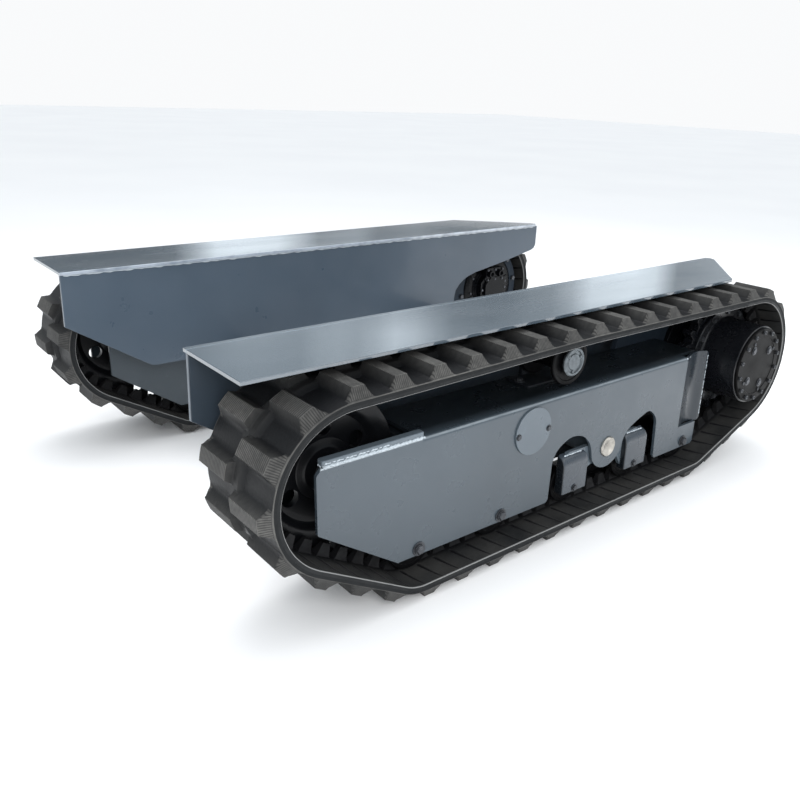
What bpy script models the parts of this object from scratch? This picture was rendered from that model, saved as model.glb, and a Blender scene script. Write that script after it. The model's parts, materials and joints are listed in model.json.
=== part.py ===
"""Tracked tank chassis: two rubber-track units joined by cross tubes.

Metres, +Z up, ground at z = 0.  X runs along the tracks, idler end at -X, sprocket end at +X.
Y runs across: the left unit is at -Y and the right unit at +Y.  Every unit is described by its
distance from the centre plane, and SIDES turns that distance into world Y.
"""
import math

import bmesh
import bpy
from mathutils import Matrix, Vector

# ---------------------------------------------------------------- driving dimensions
SIDES = {"left": -1.0, "right": 1.0}
TRACK_Y = 0.535            # centre of each belt, from the centre plane
TRACK_HALF = 0.125         # half the belt's width
BELT_T = 0.016             # belt thickness without blocks and lugs
BLOCK_H = 0.024            # tread block height
GUIDE_H = 0.026            # guide lug height
GUIDE_IN = 0.022           # guide lug rows: inner and outer edge from the belt's centre
GUIDE_OUT = 0.042
PITCH = 0.048              # nominal lug pitch, adjusted to a whole even number

DRIVE = (0.682, 0.302)     # sprocket axis (x, z)
DRIVE_WRAP = 0.192         # belt's outer radius round the sprocket
IDLER = (-0.690, 0.310)
IDLER_WRAP = 0.176
CARRIER = (-0.040, 0.4224)
ROLLER_Z = 0.1005
FIXED_ROLLERS = {"front_roller": -0.505, "second_roller": -0.265, "rear_roller": 0.455}
BOGIE_ROLLERS = {"bogie_front_roller": -0.013, "bogie_rear_roller": 0.227}
PIN = (0.107, 0.1745)
ROLLER_R = 0.060
BOGIE_ROLLER_R = 0.054
IDLER_R = 0.1588
SPROCKET_TIP = 0.1745
SPROCKET_ROOT = 0.150
TEETH = 24

DECK_TOP = 0.539
DECK_T = 0.008
DECK_IN = 0.365
DECK_OUT = 0.590
DECK_FRONT = -0.880
DECK_REAR_IN = 0.860
DECK_REAR_OUT = 0.640
WEB_Y = (0.372, 0.382)
SHELL_Y = (0.609, 0.617)
INNER_Y = (0.453, 0.461)
FRAME_TOP = 0.353
PLATE_T = 0.008
GAP = 0.0003               # assembly gap between pieces that touch
TUBE_X = {"front_cross_tube": -0.420, "rear_cross_tube": 0.330}
TUBE_HALF = 0.040
TUBE_WALL = 0.006
TUBE_Z = 0.246

PAINT = (0.155, 0.195, 0.235)
BLACK = (0.012, 0.013, 0.016)


# ---------------------------------------------------------------- helpers
def clear_scene():
    for obj in list(bpy.data.objects):
        bpy.data.objects.remove(obj, do_unlink=True)


def material(name, colour, roughness, metallic):
    mat = bpy.data.materials.new(name)
    mat.use_nodes = True
    shader = mat.node_tree.nodes["Principled BSDF"]
    shader.inputs["Base Color"].default_value = (*colour, 1.0)
    shader.inputs["Roughness"].default_value = roughness
    shader.inputs["Metallic"].default_value = metallic
    mat.diffuse_color = (*colour, 1.0)
    return mat


def prism(outline, lo, hi, axis="y", holes=()):
    """Extrude a closed outline along an axis.  Outlines are (x, z), (x, y) or (y, z)."""
    def place(a, b, c):
        if axis == "y":
            return (a, c, b)
        if axis == "z":
            return (a, b, c)
        return (c, a, b)

    bm = bmesh.new()
    edges = []
    for loop in (outline, *holes):
        verts = [bm.verts.new(place(a, b, lo)) for a, b in loop]
        edges += [bm.edges.new((verts[i - 1], verts[i])) for i in range(len(verts))]
    bmesh.ops.triangle_fill(bm, use_beauty=True, edges=edges)
    region = bmesh.ops.extrude_face_region(bm, geom=bm.faces[:])
    moved = [g for g in region["geom"] if isinstance(g, bmesh.types.BMVert)]
    bmesh.ops.translate(bm, verts=moved, vec=place(0.0, 0.0, hi - lo))
    bmesh.ops.recalc_face_normals(bm, faces=bm.faces[:])
    return bm


def box(x0, x1, y0, y1, z0, z1):
    return prism([(x0, z0), (x1, z0), (x1, z1), (x0, z1)], y0, y1)


def circle(cx, cz, radius, segments, phase=0.0):
    points = []
    for i in range(segments):
        a = 2.0 * math.pi * (i + phase) / segments
        points.append((cx + radius * math.cos(a), cz + radius * math.sin(a)))
    return points


def arc(cx, cz, radius, start, end, segments):
    points = []
    for i in range(segments + 1):
        a = math.radians(start + (end - start) * i / segments)
        points.append((cx + radius * math.cos(a), cz + radius * math.sin(a)))
    return points


def lathe(profile, centre, segments, axis="y", phase=0.0):
    """Turn a profile of (radius, position along the axis) round a line through centre.

    A profile whose first and last radius are zero is a solid; any other profile is closed
    into a ring.  centre is (x, z) for a turn about Y and (y, z) for a turn about X.
    """
    bm = bmesh.new()
    rings = []
    for radius, along in profile:
        ring = []
        count = segments if radius > 0.0 else 1
        for i in range(count):
            a = 2.0 * math.pi * (i + phase) / segments
            u = centre[0] + radius * math.cos(a)
            v = centre[1] + radius * math.sin(a)
            ring.append(bm.verts.new((u, along, v) if axis == "y" else (along, u, v)))
        rings.append(ring)
    solid = profile[0][0] == 0.0
    pairs = list(zip(rings, rings[1:]))
    if not solid:
        pairs.append((rings[-1], rings[0]))
    for a, b in pairs:
        for i in range(segments):
            j = (i + 1) % segments
            face = [a[i % len(a)], a[j % len(a)], b[j % len(b)], b[i % len(b)]]
            face = [v for n, v in enumerate(face) if v not in face[:n]]
            bm.faces.new(face)
    bmesh.ops.recalc_face_normals(bm, faces=bm.faces[:])
    return bm


def temp_object(bm):
    mesh = bpy.data.meshes.new("piece")
    bm.to_mesh(mesh)
    bm.free()
    obj = bpy.data.objects.new("piece", mesh)
    bpy.context.scene.collection.objects.link(obj)
    return obj


def combine(base, joined=(), removed=()):
    """Exact union and difference of closed meshes."""
    target = temp_object(base)
    extras = []
    for operation, group in (("UNION", joined), ("DIFFERENCE", removed)):
        for bm in group:
            other = temp_object(bm)
            extras.append(other)
            mod = target.modifiers.new("cut", "BOOLEAN")
            mod.operation = operation
            mod.solver = "EXACT"
            mod.object = other
    graph = bpy.context.evaluated_depsgraph_get()
    result = bmesh.new()
    result.from_object(target, graph)
    for obj in (target, *extras):
        bpy.data.objects.remove(obj, do_unlink=True)
    bmesh.ops.remove_doubles(result, verts=result.verts[:], dist=1e-6)
    bmesh.ops.dissolve_degenerate(result, dist=1e-6, edges=result.edges[:])
    bmesh.ops.dissolve_limit(result, angle_limit=0.001, verts=result.verts[:], edges=result.edges[:])
    return result


def add(name, bm, origin=(0.0, 0.0, 0.0), look=(PAINT, 0.35, 0.2), parent=None):
    """Make one named piece with its own material and its origin where asked."""
    origin = Vector(origin)
    bmesh.ops.translate(bm, verts=bm.verts[:], vec=-origin)
    bmesh.ops.triangulate(bm, faces=bm.faces[:])
    bmesh.ops.recalc_face_normals(bm, faces=bm.faces[:])
    mesh = bpy.data.meshes.new(name)
    bm.to_mesh(mesh)
    bm.free()
    obj = bpy.data.objects.new(name, mesh)
    bpy.context.scene.collection.objects.link(obj)
    mesh.materials.append(material(name, *look))
    obj.location = origin
    if parent is not None:
        obj.parent = parent
        obj.matrix_parent_inverse = Matrix.Translation(-parent.location)
    mesh.shade_smooth()
    mesh.set_sharp_from_angle(angle=math.radians(32.0))
    return obj


def side_mesh(bm, side):
    """Place a mesh built at +Y distances onto one side of the chassis."""
    if side < 0.0:
        for vert in bm.verts:
            vert.co.y = -vert.co.y
        bmesh.ops.reverse_faces(bm, faces=bm.faces[:])
    return bm


def hexes(points, y0, y1, radius):
    return [prism(circle(x, z, radius, 6), y0, y1) for x, z in points]


# ---------------------------------------------------------------- belt
def belt_circles():
    """Circles the belt's outer face wraps, in order round the loop: (x, z, radius)."""
    return [
        (DRIVE[0], DRIVE[1], DRIVE_WRAP),
        (CARRIER[0], 0.299, 0.200),
        (IDLER[0], IDLER[1], IDLER_WRAP),
        (-0.515, BLOCK_H + 0.120, 0.120),
        (0.465, BLOCK_H + 0.120, 0.120),
    ]


def belt_path():
    """Segments of the belt's middle line, counter-clockwise seen from -Y."""
    half = BELT_T / 2.0
    circles = [(x, z, r - half) for x, z, r in belt_circles()]
    normals = []
    for i, (x0, z0, r0) in enumerate(circles):
        x1, z1, r1 = circles[(i + 1) % len(circles)]
        dx = x1 - x0
        dz = z1 - z0
        dist = math.hypot(dx, dz)
        heading = math.atan2(dz, dx)
        normals.append(heading - math.acos((r0 - r1) / dist))
    segments = []
    for i, (x, z, r) in enumerate(circles):
        start = normals[i - 1]
        end = start + (normals[i] - start) % (2.0 * math.pi)
        segments.append(("arc", x, z, r, start, end, r * (end - start)))
        x1, z1, r1 = circles[(i + 1) % len(circles)]
        a = (x + r * math.cos(end), z + r * math.sin(end))
        b = (x1 + r1 * math.cos(end), z1 + r1 * math.sin(end))
        segments.append(("line", a, b, end, math.hypot(b[0] - a[0], b[1] - a[1])))
    return segments


def belt_stations(count):
    """Evenly spaced (x, z, nx, nz) round the belt's middle line, normals pointing out."""
    segments = belt_path()
    total = sum(s[-1] for s in segments)
    stations = []
    for k in range(count):
        s = total * k / count
        for seg in segments:
            if s <= seg[-1]:
                break
            s -= seg[-1]
        if seg[0] == "arc":
            _, x, z, r, start, end, length = seg
            a = start + (end - start) * s / length
            stations.append((x + r * math.cos(a), z + r * math.sin(a), math.cos(a), math.sin(a)))
        else:
            _, p, q, a, length = seg
            t = s / length
            stations.append((p[0] + (q[0] - p[0]) * t, p[1] + (q[1] - p[1]) * t,
                             math.cos(a), math.sin(a)))
    return stations


def lug_top(corners, height, normal, shrink_s, shrink_y):
    """Shrunk copy of a quad (two at each station), lifted along normal."""
    centre = sum(corners, Vector()) / len(corners)
    points = []
    for c in corners:
        offset = c - centre
        along_y = Vector((0.0, offset.y, 0.0))
        points.append(centre + (offset - along_y) * shrink_s + along_y * shrink_y + normal * height)
    return points


def rubber_track(name, side):
    length = sum(s[-1] for s in belt_path())
    pitches = 2 * round(length / PITCH / 2.0)
    stations = belt_stations(2 * pitches)
    half = BELT_T / 2.0
    bm = bmesh.new()

    def vert(k, offset, across):
        x, z, nx, nz = stations[k % len(stations)]
        return bm.verts.new((x + nx * offset, TRACK_Y + across, z + nz * offset))

    columns = (-GUIDE_OUT, -GUIDE_IN, GUIDE_IN, GUIDE_OUT)
    guide = [[vert(k, -half, c) for c in columns] for k in range(2 * pitches)]
    inner = [[vert(2 * k, -half, c) for c in (-TRACK_HALF, TRACK_HALF)] for k in range(pitches)]
    outer = [[vert(2 * k, half, c) for c in (-TRACK_HALF, 0.0, TRACK_HALF)] for k in range(pitches)]
    for k in range(pitches):
        n = (k + 1) % pitches
        g = [guide[(2 * k + i) % (2 * pitches)] for i in range(3)]
        bm.faces.new((inner[k][0], inner[n][0], g[2][0], g[1][0], g[0][0]))
        bm.faces.new((g[0][3], g[1][3], g[2][3], inner[n][1], inner[k][1]))
        bm.faces.new((inner[k][0], outer[k][0], outer[n][0], inner[n][0]))
        bm.faces.new((inner[k][1], inner[n][1], outer[n][2], outer[k][2]))
        for i in (0, 1):
            bm.faces.new((g[i][1], g[i + 1][1], g[i + 1][2], g[i][2]))
        for c in (0, 2):
            bm.faces.new((g[1][c], g[2][c], g[2][c + 1], g[1][c + 1]))
            base = (g[0][c], g[1][c], g[1][c + 1], g[0][c + 1])
            add_lug(bm, base, stations[2 * k], stations[(2 * k + 1) % (2 * pitches)], -1.0)
        block = 0 if k % 2 == 0 else 1
        for half_index in (0, 1):
            base = (outer[k][half_index], outer[n][half_index],
                    outer[n][half_index + 1], outer[k][half_index + 1])
            if half_index == block:
                add_lug(bm, base, stations[2 * k], stations[(2 * k + 2) % (2 * pitches)], 1.0)
            else:
                bm.faces.new(base)
    bmesh.ops.recalc_face_normals(bm, faces=bm.faces[:])
    add(name, side_mesh(bm, side), look=((0.030, 0.029, 0.028), 0.85, 0.0))


def add_lug(bm, base, first, second, direction):
    """Raise a guide lug (direction -1) or a tread block (direction +1) on a base quad.

    Blocks are flush with the ground where the belt starts to curve up.
    """
    normal = Vector((first[2] + second[2], 0.0, first[3] + second[3])).normalized() * direction
    corners = [v.co.copy() for v in base]
    if direction < 0.0:
        points = lug_top(corners, GUIDE_H, normal, 0.0, 0.8)
        near = bm.verts.new((points[0] + points[1]) / 2.0)
        far = bm.verts.new((points[2] + points[3]) / 2.0)
        bm.faces.new((base[0], base[1], near))
        bm.faces.new((base[2], base[3], far))
        bm.faces.new((base[1], base[2], far, near))
        bm.faces.new((base[3], base[0], near, far))
        return
    sagitta = 0.0
    if (first[2], first[3]) != (second[2], second[3]):
        chord = (corners[1] - corners[0]).length
        turn = math.acos(min(1.0, first[2] * second[2] + first[3] * second[3]))
        sagitta = chord * math.tan(turn / 4.0) / 2.0
    points = lug_top(corners, BLOCK_H + sagitta, normal, 0.72, 0.90)
    top = [bm.verts.new((p.x, p.y, max(p.z, 0.0))) for p in points]
    bm.faces.new(top)
    for i in range(4):
        j = (i + 1) % 4
        bm.faces.new((base[i], base[j], top[j], top[i]))


# ---------------------------------------------------------------- plates
def deck_plate(name, side):
    outline = [
        (DECK_FRONT, DECK_IN),
        (DECK_REAR_IN - 0.010, DECK_IN),
        (DECK_REAR_IN, DECK_IN + 0.010),
        (DECK_REAR_IN - 0.006, DECK_IN + 0.030),
        (DECK_REAR_OUT + 0.012, DECK_OUT - 0.018),
        (DECK_REAR_OUT, DECK_OUT - 0.006),
        (DECK_REAR_OUT - 0.012, DECK_OUT),
        (DECK_FRONT, DECK_OUT),
    ]
    bm = prism(outline, DECK_TOP - DECK_T, DECK_TOP, axis="z")
    add(name, side_mesh(bm, side))


def web_plate(name, side):
    top = DECK_TOP - DECK_T - GAP
    low = 0.252
    outline = [(DECK_FRONT + 0.002, top), (DECK_FRONT, 0.396), (-0.664, low + 0.002), (-0.650, low)]
    for x in TUBE_X.values():
        lift = TUBE_Z + TUBE_HALF + GAP
        edge = TUBE_HALF + GAP
        outline += [(x - edge, low), (x - edge, lift), (x + edge, lift), (x + edge, low)]
    outline += [
        (0.450, low), (0.457, low + 0.007), (0.457, 0.304), (0.462, 0.327), (0.478, 0.347),
        (0.497, 0.362), (0.522, 0.374), (0.555, 0.384), (0.706, 0.411), (0.845, 0.441),
        (0.858, 0.448), (0.865, 0.460), (0.866, top),
    ]
    bm = prism(outline, *WEB_Y)
    add(name, side_mesh(bm, side))


def arch_outline():
    """Outer plate outline, from the front top corner round the lower edge to the rear."""
    x, z = PIN
    front = [
        (-0.740, FRAME_TOP), (-0.753, 0.339), (-0.751, 0.216), (-0.5555, 0.083), (-0.112, 0.083),
        (-0.105, 0.090), (-0.101, 0.185), (-0.093, 0.204), (-0.075, 0.222), (-0.038, 0.236),
        (0.002, 0.229), (0.026, 0.211), (0.041, 0.188),
    ]
    lobe = arc(x, z + 0.0065, 0.063, 205.0, 335.0, 8)
    rear = [
        (0.172, 0.180), (0.187, 0.200), (0.206, 0.211), (0.240, 0.225), (0.272, 0.233),
        (0.297, 0.217), (0.311, 0.196), (0.319, 0.090), (0.326, 0.083),
    ]
    return front + lobe + rear


def frame_shell(name, side):
    low = [(0.499, 0.083), (0.506, 0.090), (0.506, 0.149), (0.423, 0.149)]
    top = [(0.423, 0.342), (-0.505, 0.342), (-0.505, FRAME_TOP)]
    holes = [circle(x, ROLLER_Z, 0.0125, 10) for x in FIXED_ROLLERS.values()]
    holes.append(circle(*PIN, 0.0272, 16))
    holes.append(circle(-0.180, 0.288, 0.046, 12))
    plate = prism(arch_outline() + low + top, *SHELL_Y, holes=holes)
    y0, y1 = SHELL_Y
    z = FRAME_TOP
    fold = prism([(INNER_Y[0], z - PLATE_T), (y0, z - PLATE_T), (y0, z - 0.014), (y1, z - 0.014),
                  (y1, z - 0.009), (y1 - 0.002, z - 0.004), (y1 - 0.005, z - 0.001),
                  (y1 - 0.010, z), (INNER_Y[0], z)], -0.505, 0.4225, axis="x")
    rear_top = box(0.420, 0.500, INNER_Y[0], 0.585, z - PLATE_T, z)
    bar = box(-0.740, -0.500, 0.598, y1 - 0.0005, z - 0.001, z + 0.013)
    bm = combine(plate, joined=[fold, rear_top, bar])
    add(name, side_mesh(bm, side))


def inner_side_plate(name, side):
    outline = [
        (-0.738, FRAME_TOP - PLATE_T - GAP), (-0.750, 0.332), (-0.750, 0.216), (-0.5555, 0.083),
        (0.499, 0.083), (0.506, 0.090), (0.506, FRAME_TOP - PLATE_T - GAP),
    ]
    holes = [circle(x, ROLLER_Z, 0.0125, 10) for x in FIXED_ROLLERS.values()]
    holes.append(circle(*PIN, 0.0272, 16))
    bm = prism(outline, *INNER_Y, holes=holes)
    add(name, side_mesh(bm, side))


def rear_guard(name, side):
    outline = [
        (0.4233, 0.6168), (0.468, 0.6035), (0.493, 0.6035), (0.516, 0.6150), (0.525, 0.6150),
        (0.526, 0.6095), (0.4945, 0.5975), (0.467, 0.5975), (0.4233, 0.6108),
    ]
    bm = prism(outline, 0.1493, FRAME_TOP + 0.003, axis="z")
    add(name, side_mesh(bm, side))


def inspection_cover(name, side):
    y0 = SHELL_Y[1] + GAP
    disc = prism(circle(-0.180, 0.288, 0.057, 24), y0, y0 + 0.004)
    bolts = hexes([(-0.229, 0.285), (-0.131, 0.285)], y0 + 0.003, y0 + 0.0085, 0.0065)
    bm = combine(disc, joined=bolts)
    add(name, side_mesh(bm, side))


def cross_tube(name, x):
    reach = INNER_Y[0] - GAP
    outer = circle(x, TUBE_Z, TUBE_HALF * math.sqrt(2.0), 4, 0.5)
    inner = circle(x, TUBE_Z, (TUBE_HALF - TUBE_WALL) * math.sqrt(2.0), 4, 0.5)
    add(name, prism(outer, -reach, reach, holes=[inner]))


# ---------------------------------------------------------------- rollers, idler, bogie
def roller_profile(radius, barrel, bore, half=0.056):
    y = TRACK_Y
    return [
        (bore, y - half), (radius, y - half), (radius, y - 0.046), (barrel, y - 0.043),
        (barrel, y + 0.043), (radius, y + 0.046), (radius, y + half), (bore, y + half),
    ]


def roller(name, side, x, z, radius, barrel, parent=None):
    bm = lathe(roller_profile(radius, barrel, 0.0127), (x, z), 16)
    look = (BLACK, 0.45, 0.3)
    return add(name, side_mesh(bm, side), (x, side * TRACK_Y, z), look, parent)


def roller_axle(name, side, x):
    outer = SHELL_Y[1] + GAP
    inner = INNER_Y[0] - GAP
    profile = [
        (0.0, inner - 0.008), (0.016, inner - 0.008), (0.016, inner), (0.012, inner),
        (0.012, outer), (0.016, outer), (0.016, outer + 0.010), (0.0, outer + 0.010),
    ]
    bm = lathe(profile, (x, ROLLER_Z), 10)
    add(name, side_mesh(bm, side), (x, side * TRACK_Y, ROLLER_Z), ((0.25, 0.28, 0.31), 0.4, 0.8))


def idler_wheel(name, side, parent):
    y = TRACK_Y
    half = [(0.0205, 0.040), (0.042, 0.040), (0.052, 0.013), (0.112, 0.013), (0.128, 0.019),
            (IDLER_R - 0.003, 0.019), (IDLER_R, 0.016)]
    profile = [(r, y - d) for r, d in half] + [(r, y + d) for r, d in reversed(half)]
    wheel = lathe(profile, IDLER, 24)
    holes = []
    for i in range(6):
        a = math.radians(30.0 + 60.0 * i)
        cx = IDLER[0] + 0.086 * math.cos(a)
        cz = IDLER[1] + 0.086 * math.sin(a)
        holes.append(prism(circle(cx, cz, 0.018, 10), y - 0.030, y + 0.030))
    bm = combine(wheel, removed=holes)
    origin = (IDLER[0], side * y, IDLER[1])
    return add(name, side_mesh(bm, side), origin, (BLACK, 0.3, 0.3), parent)


def idler_yoke(name, side):
    x, z = IDLER
    arm = box(x - 0.026, -0.490, 0.464, 0.474, z - 0.028, z + 0.028)
    outer_arm = box(x - 0.026, -0.490, 0.596, 0.606, z - 0.028, z + 0.028)
    bar = box(-0.520, -0.4895, 0.4645, 0.6055, z - 0.0285, z + 0.0285)
    shaft = prism(circle(x, z, 0.020, 16), 0.4645, 0.6055)
    rod = lathe([(0.0, -0.500), (0.018, -0.500), (0.018, -0.300), (0.0, -0.300)],
                (TRACK_Y, z), 16, axis="x")
    bm = combine(arm, joined=[outer_arm, bar, shaft, rod])
    return add(name, side_mesh(bm, side), (x, side * TRACK_Y, z), ((0.10, 0.12, 0.14), 0.45, 0.5))


def tension_cylinder(name, side):
    z = IDLER[1]
    body = lathe([(0.0187, -0.440), (0.033, -0.440), (0.033, -0.150), (0.010, -0.150),
                  (0.010, -0.152), (0.0187, -0.240)], (TRACK_Y, z), 16, axis="x")
    head = box(-0.170, -0.146, INNER_Y[1] + GAP, SHELL_Y[0] - GAP, 0.270, 0.344)
    nipple = prism(circle(-0.196, 0.300, 0.009, 8), 0.560, 0.592)
    bm = combine(body, joined=[head, nipple])
    add(name, side_mesh(bm, side), look=((0.10, 0.12, 0.14), 0.4, 0.5))


def carrier_bracket(name, side):
    x, z = CARRIER
    base = FRAME_TOP + GAP
    upright = prism([(x - 0.034, base), (x + 0.034, base), (x + 0.034, z)]
                    + arc(x, z, 0.034, 20.0, 160.0, 6) + [(x - 0.034, z)],
                    0.4615, 0.4735)
    foot = box(x - 0.080, x + 0.080, 0.4610, 0.540, base, base + 0.006)
    bolts = [lathe([(0.0, 0.001), (0.008, 0.001), (0.008, 0.012), (0.0, 0.012)], (0.0, 0.0), 6)
             for _ in range(2)]
    for bolt, bx in zip(bolts, (x - 0.070, x + 0.070)):
        turn = Matrix.Rotation(math.radians(90.0), 4, "X")
        bmesh.ops.transform(bolt, matrix=turn, verts=bolt.verts[:])
        bmesh.ops.translate(bolt, verts=bolt.verts[:], vec=(bx, 0.500, base))
        bmesh.ops.recalc_face_normals(bolt, faces=bolt.faces[:])
    shaft = prism(circle(x, z, 0.012, 12), 0.470, 0.5915)
    bm = combine(upright, joined=[foot, shaft, *bolts])
    add(name, side_mesh(bm, side), look=((0.10, 0.12, 0.14), 0.4, 0.4))


def carrier_cap(name, side, parent):
    x, z = CARRIER
    bm = lathe([(0.0, 0.5923), (0.038, 0.5923), (0.038, 0.599), (0.033, 0.604), (0.0, 0.604)],
               (x, z), 20)
    look = ((0.42, 0.45, 0.47), 0.4, 0.6)
    return add(name, side_mesh(bm, side), (x, side * TRACK_Y, z), look, parent)


def bogie_rocker(name, side):
    x, z = PIN
    half = [(0.165, 0.092), (0.165, 0.166), (0.140, 0.190)]
    left = [(x - d, pz) for d, pz in half]
    right = [(x + d, pz) for d, pz in reversed(half)]
    low = [(x + 0.081, 0.092), (x + 0.056, 0.134), (x - 0.056, 0.134), (x - 0.081, 0.092)]
    outline = left + right + low
    inner = prism(outline, 0.4635, 0.4735)
    outer = prism(outline, 0.5965, 0.6065)
    tube = prism(circle(x, z, 0.038, 16), 0.4730, 0.5970)
    section = [(0.598, 0.0925), (0.6225, 0.0925), (0.6225, 0.168), (0.6165, 0.180), (0.598, 0.189)]
    housings = [prism(section, a, b, axis="x")
                for a, b in ((x - 0.167, x - 0.076), (x + 0.077, x + 0.1665))]
    shafts = [prism(circle(rx, ROLLER_Z, 0.012, 10), 0.470, 0.600) for rx in BOGIE_ROLLERS.values()]
    heads = hexes([(rx, ROLLER_Z - 0.003) for rx in BOGIE_ROLLERS.values()], 0.620, 0.629, 0.0105)
    bore = prism(circle(x, z, 0.0272, 16), 0.44, 0.64)
    bm = combine(inner, joined=[outer, tube, *housings, *shafts, *heads], removed=[bore])
    return add(name, side_mesh(bm, side), (x, side * TRACK_Y, z))


def bogie_pin(name, side):
    outer = SHELL_Y[1] + 0.005
    bm = lathe([(0.0, 0.449), (0.0265, 0.449), (0.0265, outer - 0.002), (0.0245, outer),
                (0.0, outer)], PIN, 16)
    add(name, side_mesh(bm, side), look=((0.62, 0.60, 0.56), 0.25, 1.0))


# ---------------------------------------------------------------- drive
def sprocket(name, side):
    outline = []
    for i in range(TEETH):
        a = 360.0 * i / TEETH
        for radius, offset in ((SPROCKET_ROOT, -4.4), (SPROCKET_TIP, -2.0), (SPROCKET_TIP, 2.0),
                               (SPROCKET_ROOT, 4.4)):
            t = math.radians(a + offset)
            outline.append((DRIVE[0] + radius * math.cos(t), DRIVE[1] + radius * math.sin(t)))
    bm = prism(outline, 0.520, 0.550, holes=[circle(*DRIVE, 0.100, 24)])
    origin = (DRIVE[0], side * TRACK_Y, DRIVE[1])
    return add(name, side_mesh(bm, side), origin, (BLACK, 0.4, 0.5))


def drive_hub(name, side, parent):
    y = 0.550 + GAP
    drum = lathe([(0.0, y), (0.143, y), (0.143, 0.562), (0.113, 0.565), (0.113, 0.676),
                  (0.0, 0.676)], DRIVE, 24)
    spots = circle(*DRIVE, 0.131, 12)
    bm = combine(drum, joined=hexes(spots, 0.560, 0.570, 0.0085))
    origin = (DRIVE[0], side * TRACK_Y, DRIVE[1])
    return add(name, side_mesh(bm, side), origin, (BLACK, 0.25, 0.2), parent)


def end_cover(name, side, parent):
    y = 0.676 + GAP
    disc = lathe([(0.0, y), (0.109, y), (0.109, 0.682), (0.106, 0.6845), (0.0, 0.6845)], DRIVE, 24)
    bolts = hexes(circle(*DRIVE, 0.0975, 10, 0.5), 0.683, 0.6905, 0.0075)
    plugs = []
    for angle in (37.0, 127.0, 220.0, 292.0):
        a = math.radians(angle)
        px = DRIVE[0] + 0.061 * math.cos(a)
        pz = DRIVE[1] + 0.061 * math.sin(a)
        plugs.append(prism(circle(px, pz, 0.0095, 6), 0.683, 0.688))
    bm = combine(disc, joined=bolts + plugs)
    origin = (DRIVE[0], side * TRACK_Y, DRIVE[1])
    return add(name, side_mesh(bm, side), origin, (BLACK, 0.25, 0.2), parent)


def hydraulic_motor(name, side):
    y = INNER_Y[0]
    body = lathe([(0.0, 0.394), (0.052, 0.394), (0.070, 0.406), (0.070, 0.426), (0.076, 0.431),
                  (0.118, 0.433), (0.1195, 0.4345), (0.1195, y), (0.142, y), (0.142, 0.468),
                  (0.112, 0.472), (0.112, 0.492), (0.088, 0.496), (0.088, 0.547), (0.0, 0.547)], DRIVE, 20)
    x, z = DRIVE
    block = box(x - 0.044, x + 0.044, 0.398, 0.428, z + 0.030, z + 0.082)
    ports = [prism(circle(px, z + 0.060, 0.013, 8), 0.386, 0.400) for px in (x - 0.024, x + 0.024)]
    bm = combine(body, joined=[block, *ports])
    add(name, side_mesh(bm, side), look=(BLACK, 0.4, 0.3))


def drive_mount(name, side):
    y1 = INNER_Y[0] - GAP
    y0 = y1 - 0.0165
    outline = [(0.385, 0.196), (0.540, 0.196)] + arc(*DRIVE, 0.150, -135.0, 135.0, 20)
    outline += [(0.560, 0.402), (0.330, 0.402), (0.315, 0.340), (0.385, 0.340)]
    ring = prism(outline, y0, y1, holes=[circle(*DRIVE, 0.1215, 24)])
    spots = circle(*DRIVE, 0.1355, 10, 0.25)
    bm = combine(ring, joined=hexes(spots, y0 - 0.009, y0 + 0.002, 0.0085))
    add(name, side_mesh(bm, side), look=((0.10, 0.12, 0.14), 0.4, 0.4))


# ---------------------------------------------------------------- assembly
def build_side(prefix, side):
    def label(piece):
        return prefix + "_" + piece

    deck_plate(label("deck_plate"), side)
    web_plate(label("web_plate"), side)
    frame_shell(label("frame_shell"), side)
    inner_side_plate(label("inner_side_plate"), side)
    rear_guard(label("rear_guard"), side)
    inspection_cover(label("inspection_cover"), side)
    rubber_track(label("rubber_track"), side)
    for piece, x in FIXED_ROLLERS.items():
        roller(label(piece), side, x, ROLLER_Z, ROLLER_R, 0.032)
        roller_axle(label(piece + "_axle"), side, x)
    yoke = idler_yoke(label("idler_yoke"), side)
    idler_wheel(label("idler_wheel"), side, yoke)
    tension_cylinder(label("tension_cylinder"), side)
    carrier_bracket(label("carrier_bracket"), side)
    carrier = roller(label("carrier_roller"), side, *CARRIER, ROLLER_R, 0.030)
    carrier_cap(label("carrier_cap"), side, carrier)
    rocker = bogie_rocker(label("bogie_rocker"), side)
    bogie_pin(label("bogie_pin"), side)
    for piece, x in BOGIE_ROLLERS.items():
        roller(label(piece), side, x, ROLLER_Z, BOGIE_ROLLER_R, 0.026, rocker)
    ring = sprocket(label("sprocket"), side)
    drive_hub(label("drive_hub"), side, ring)
    end_cover(label("end_cover"), side, ring)
    hydraulic_motor(label("hydraulic_motor"), side)
    drive_mount(label("drive_mount"), side)


clear_scene()
for side_name, side_sign in SIDES.items():
    build_side(side_name, side_sign)
for tube_name, tube_x in TUBE_X.items():
    cross_tube(tube_name, tube_x)
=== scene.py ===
"""Looks of the tracked tank chassis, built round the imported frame.

Every piece is modelled for a unit at +Y distances from the centre plane and is then mirrored
onto its side, so both units share one set of shapes.  Metres, +Z up, idler end at -X.
"""
import json
import math

import bmesh
import bpy
from mathutils import Matrix, Vector


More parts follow.
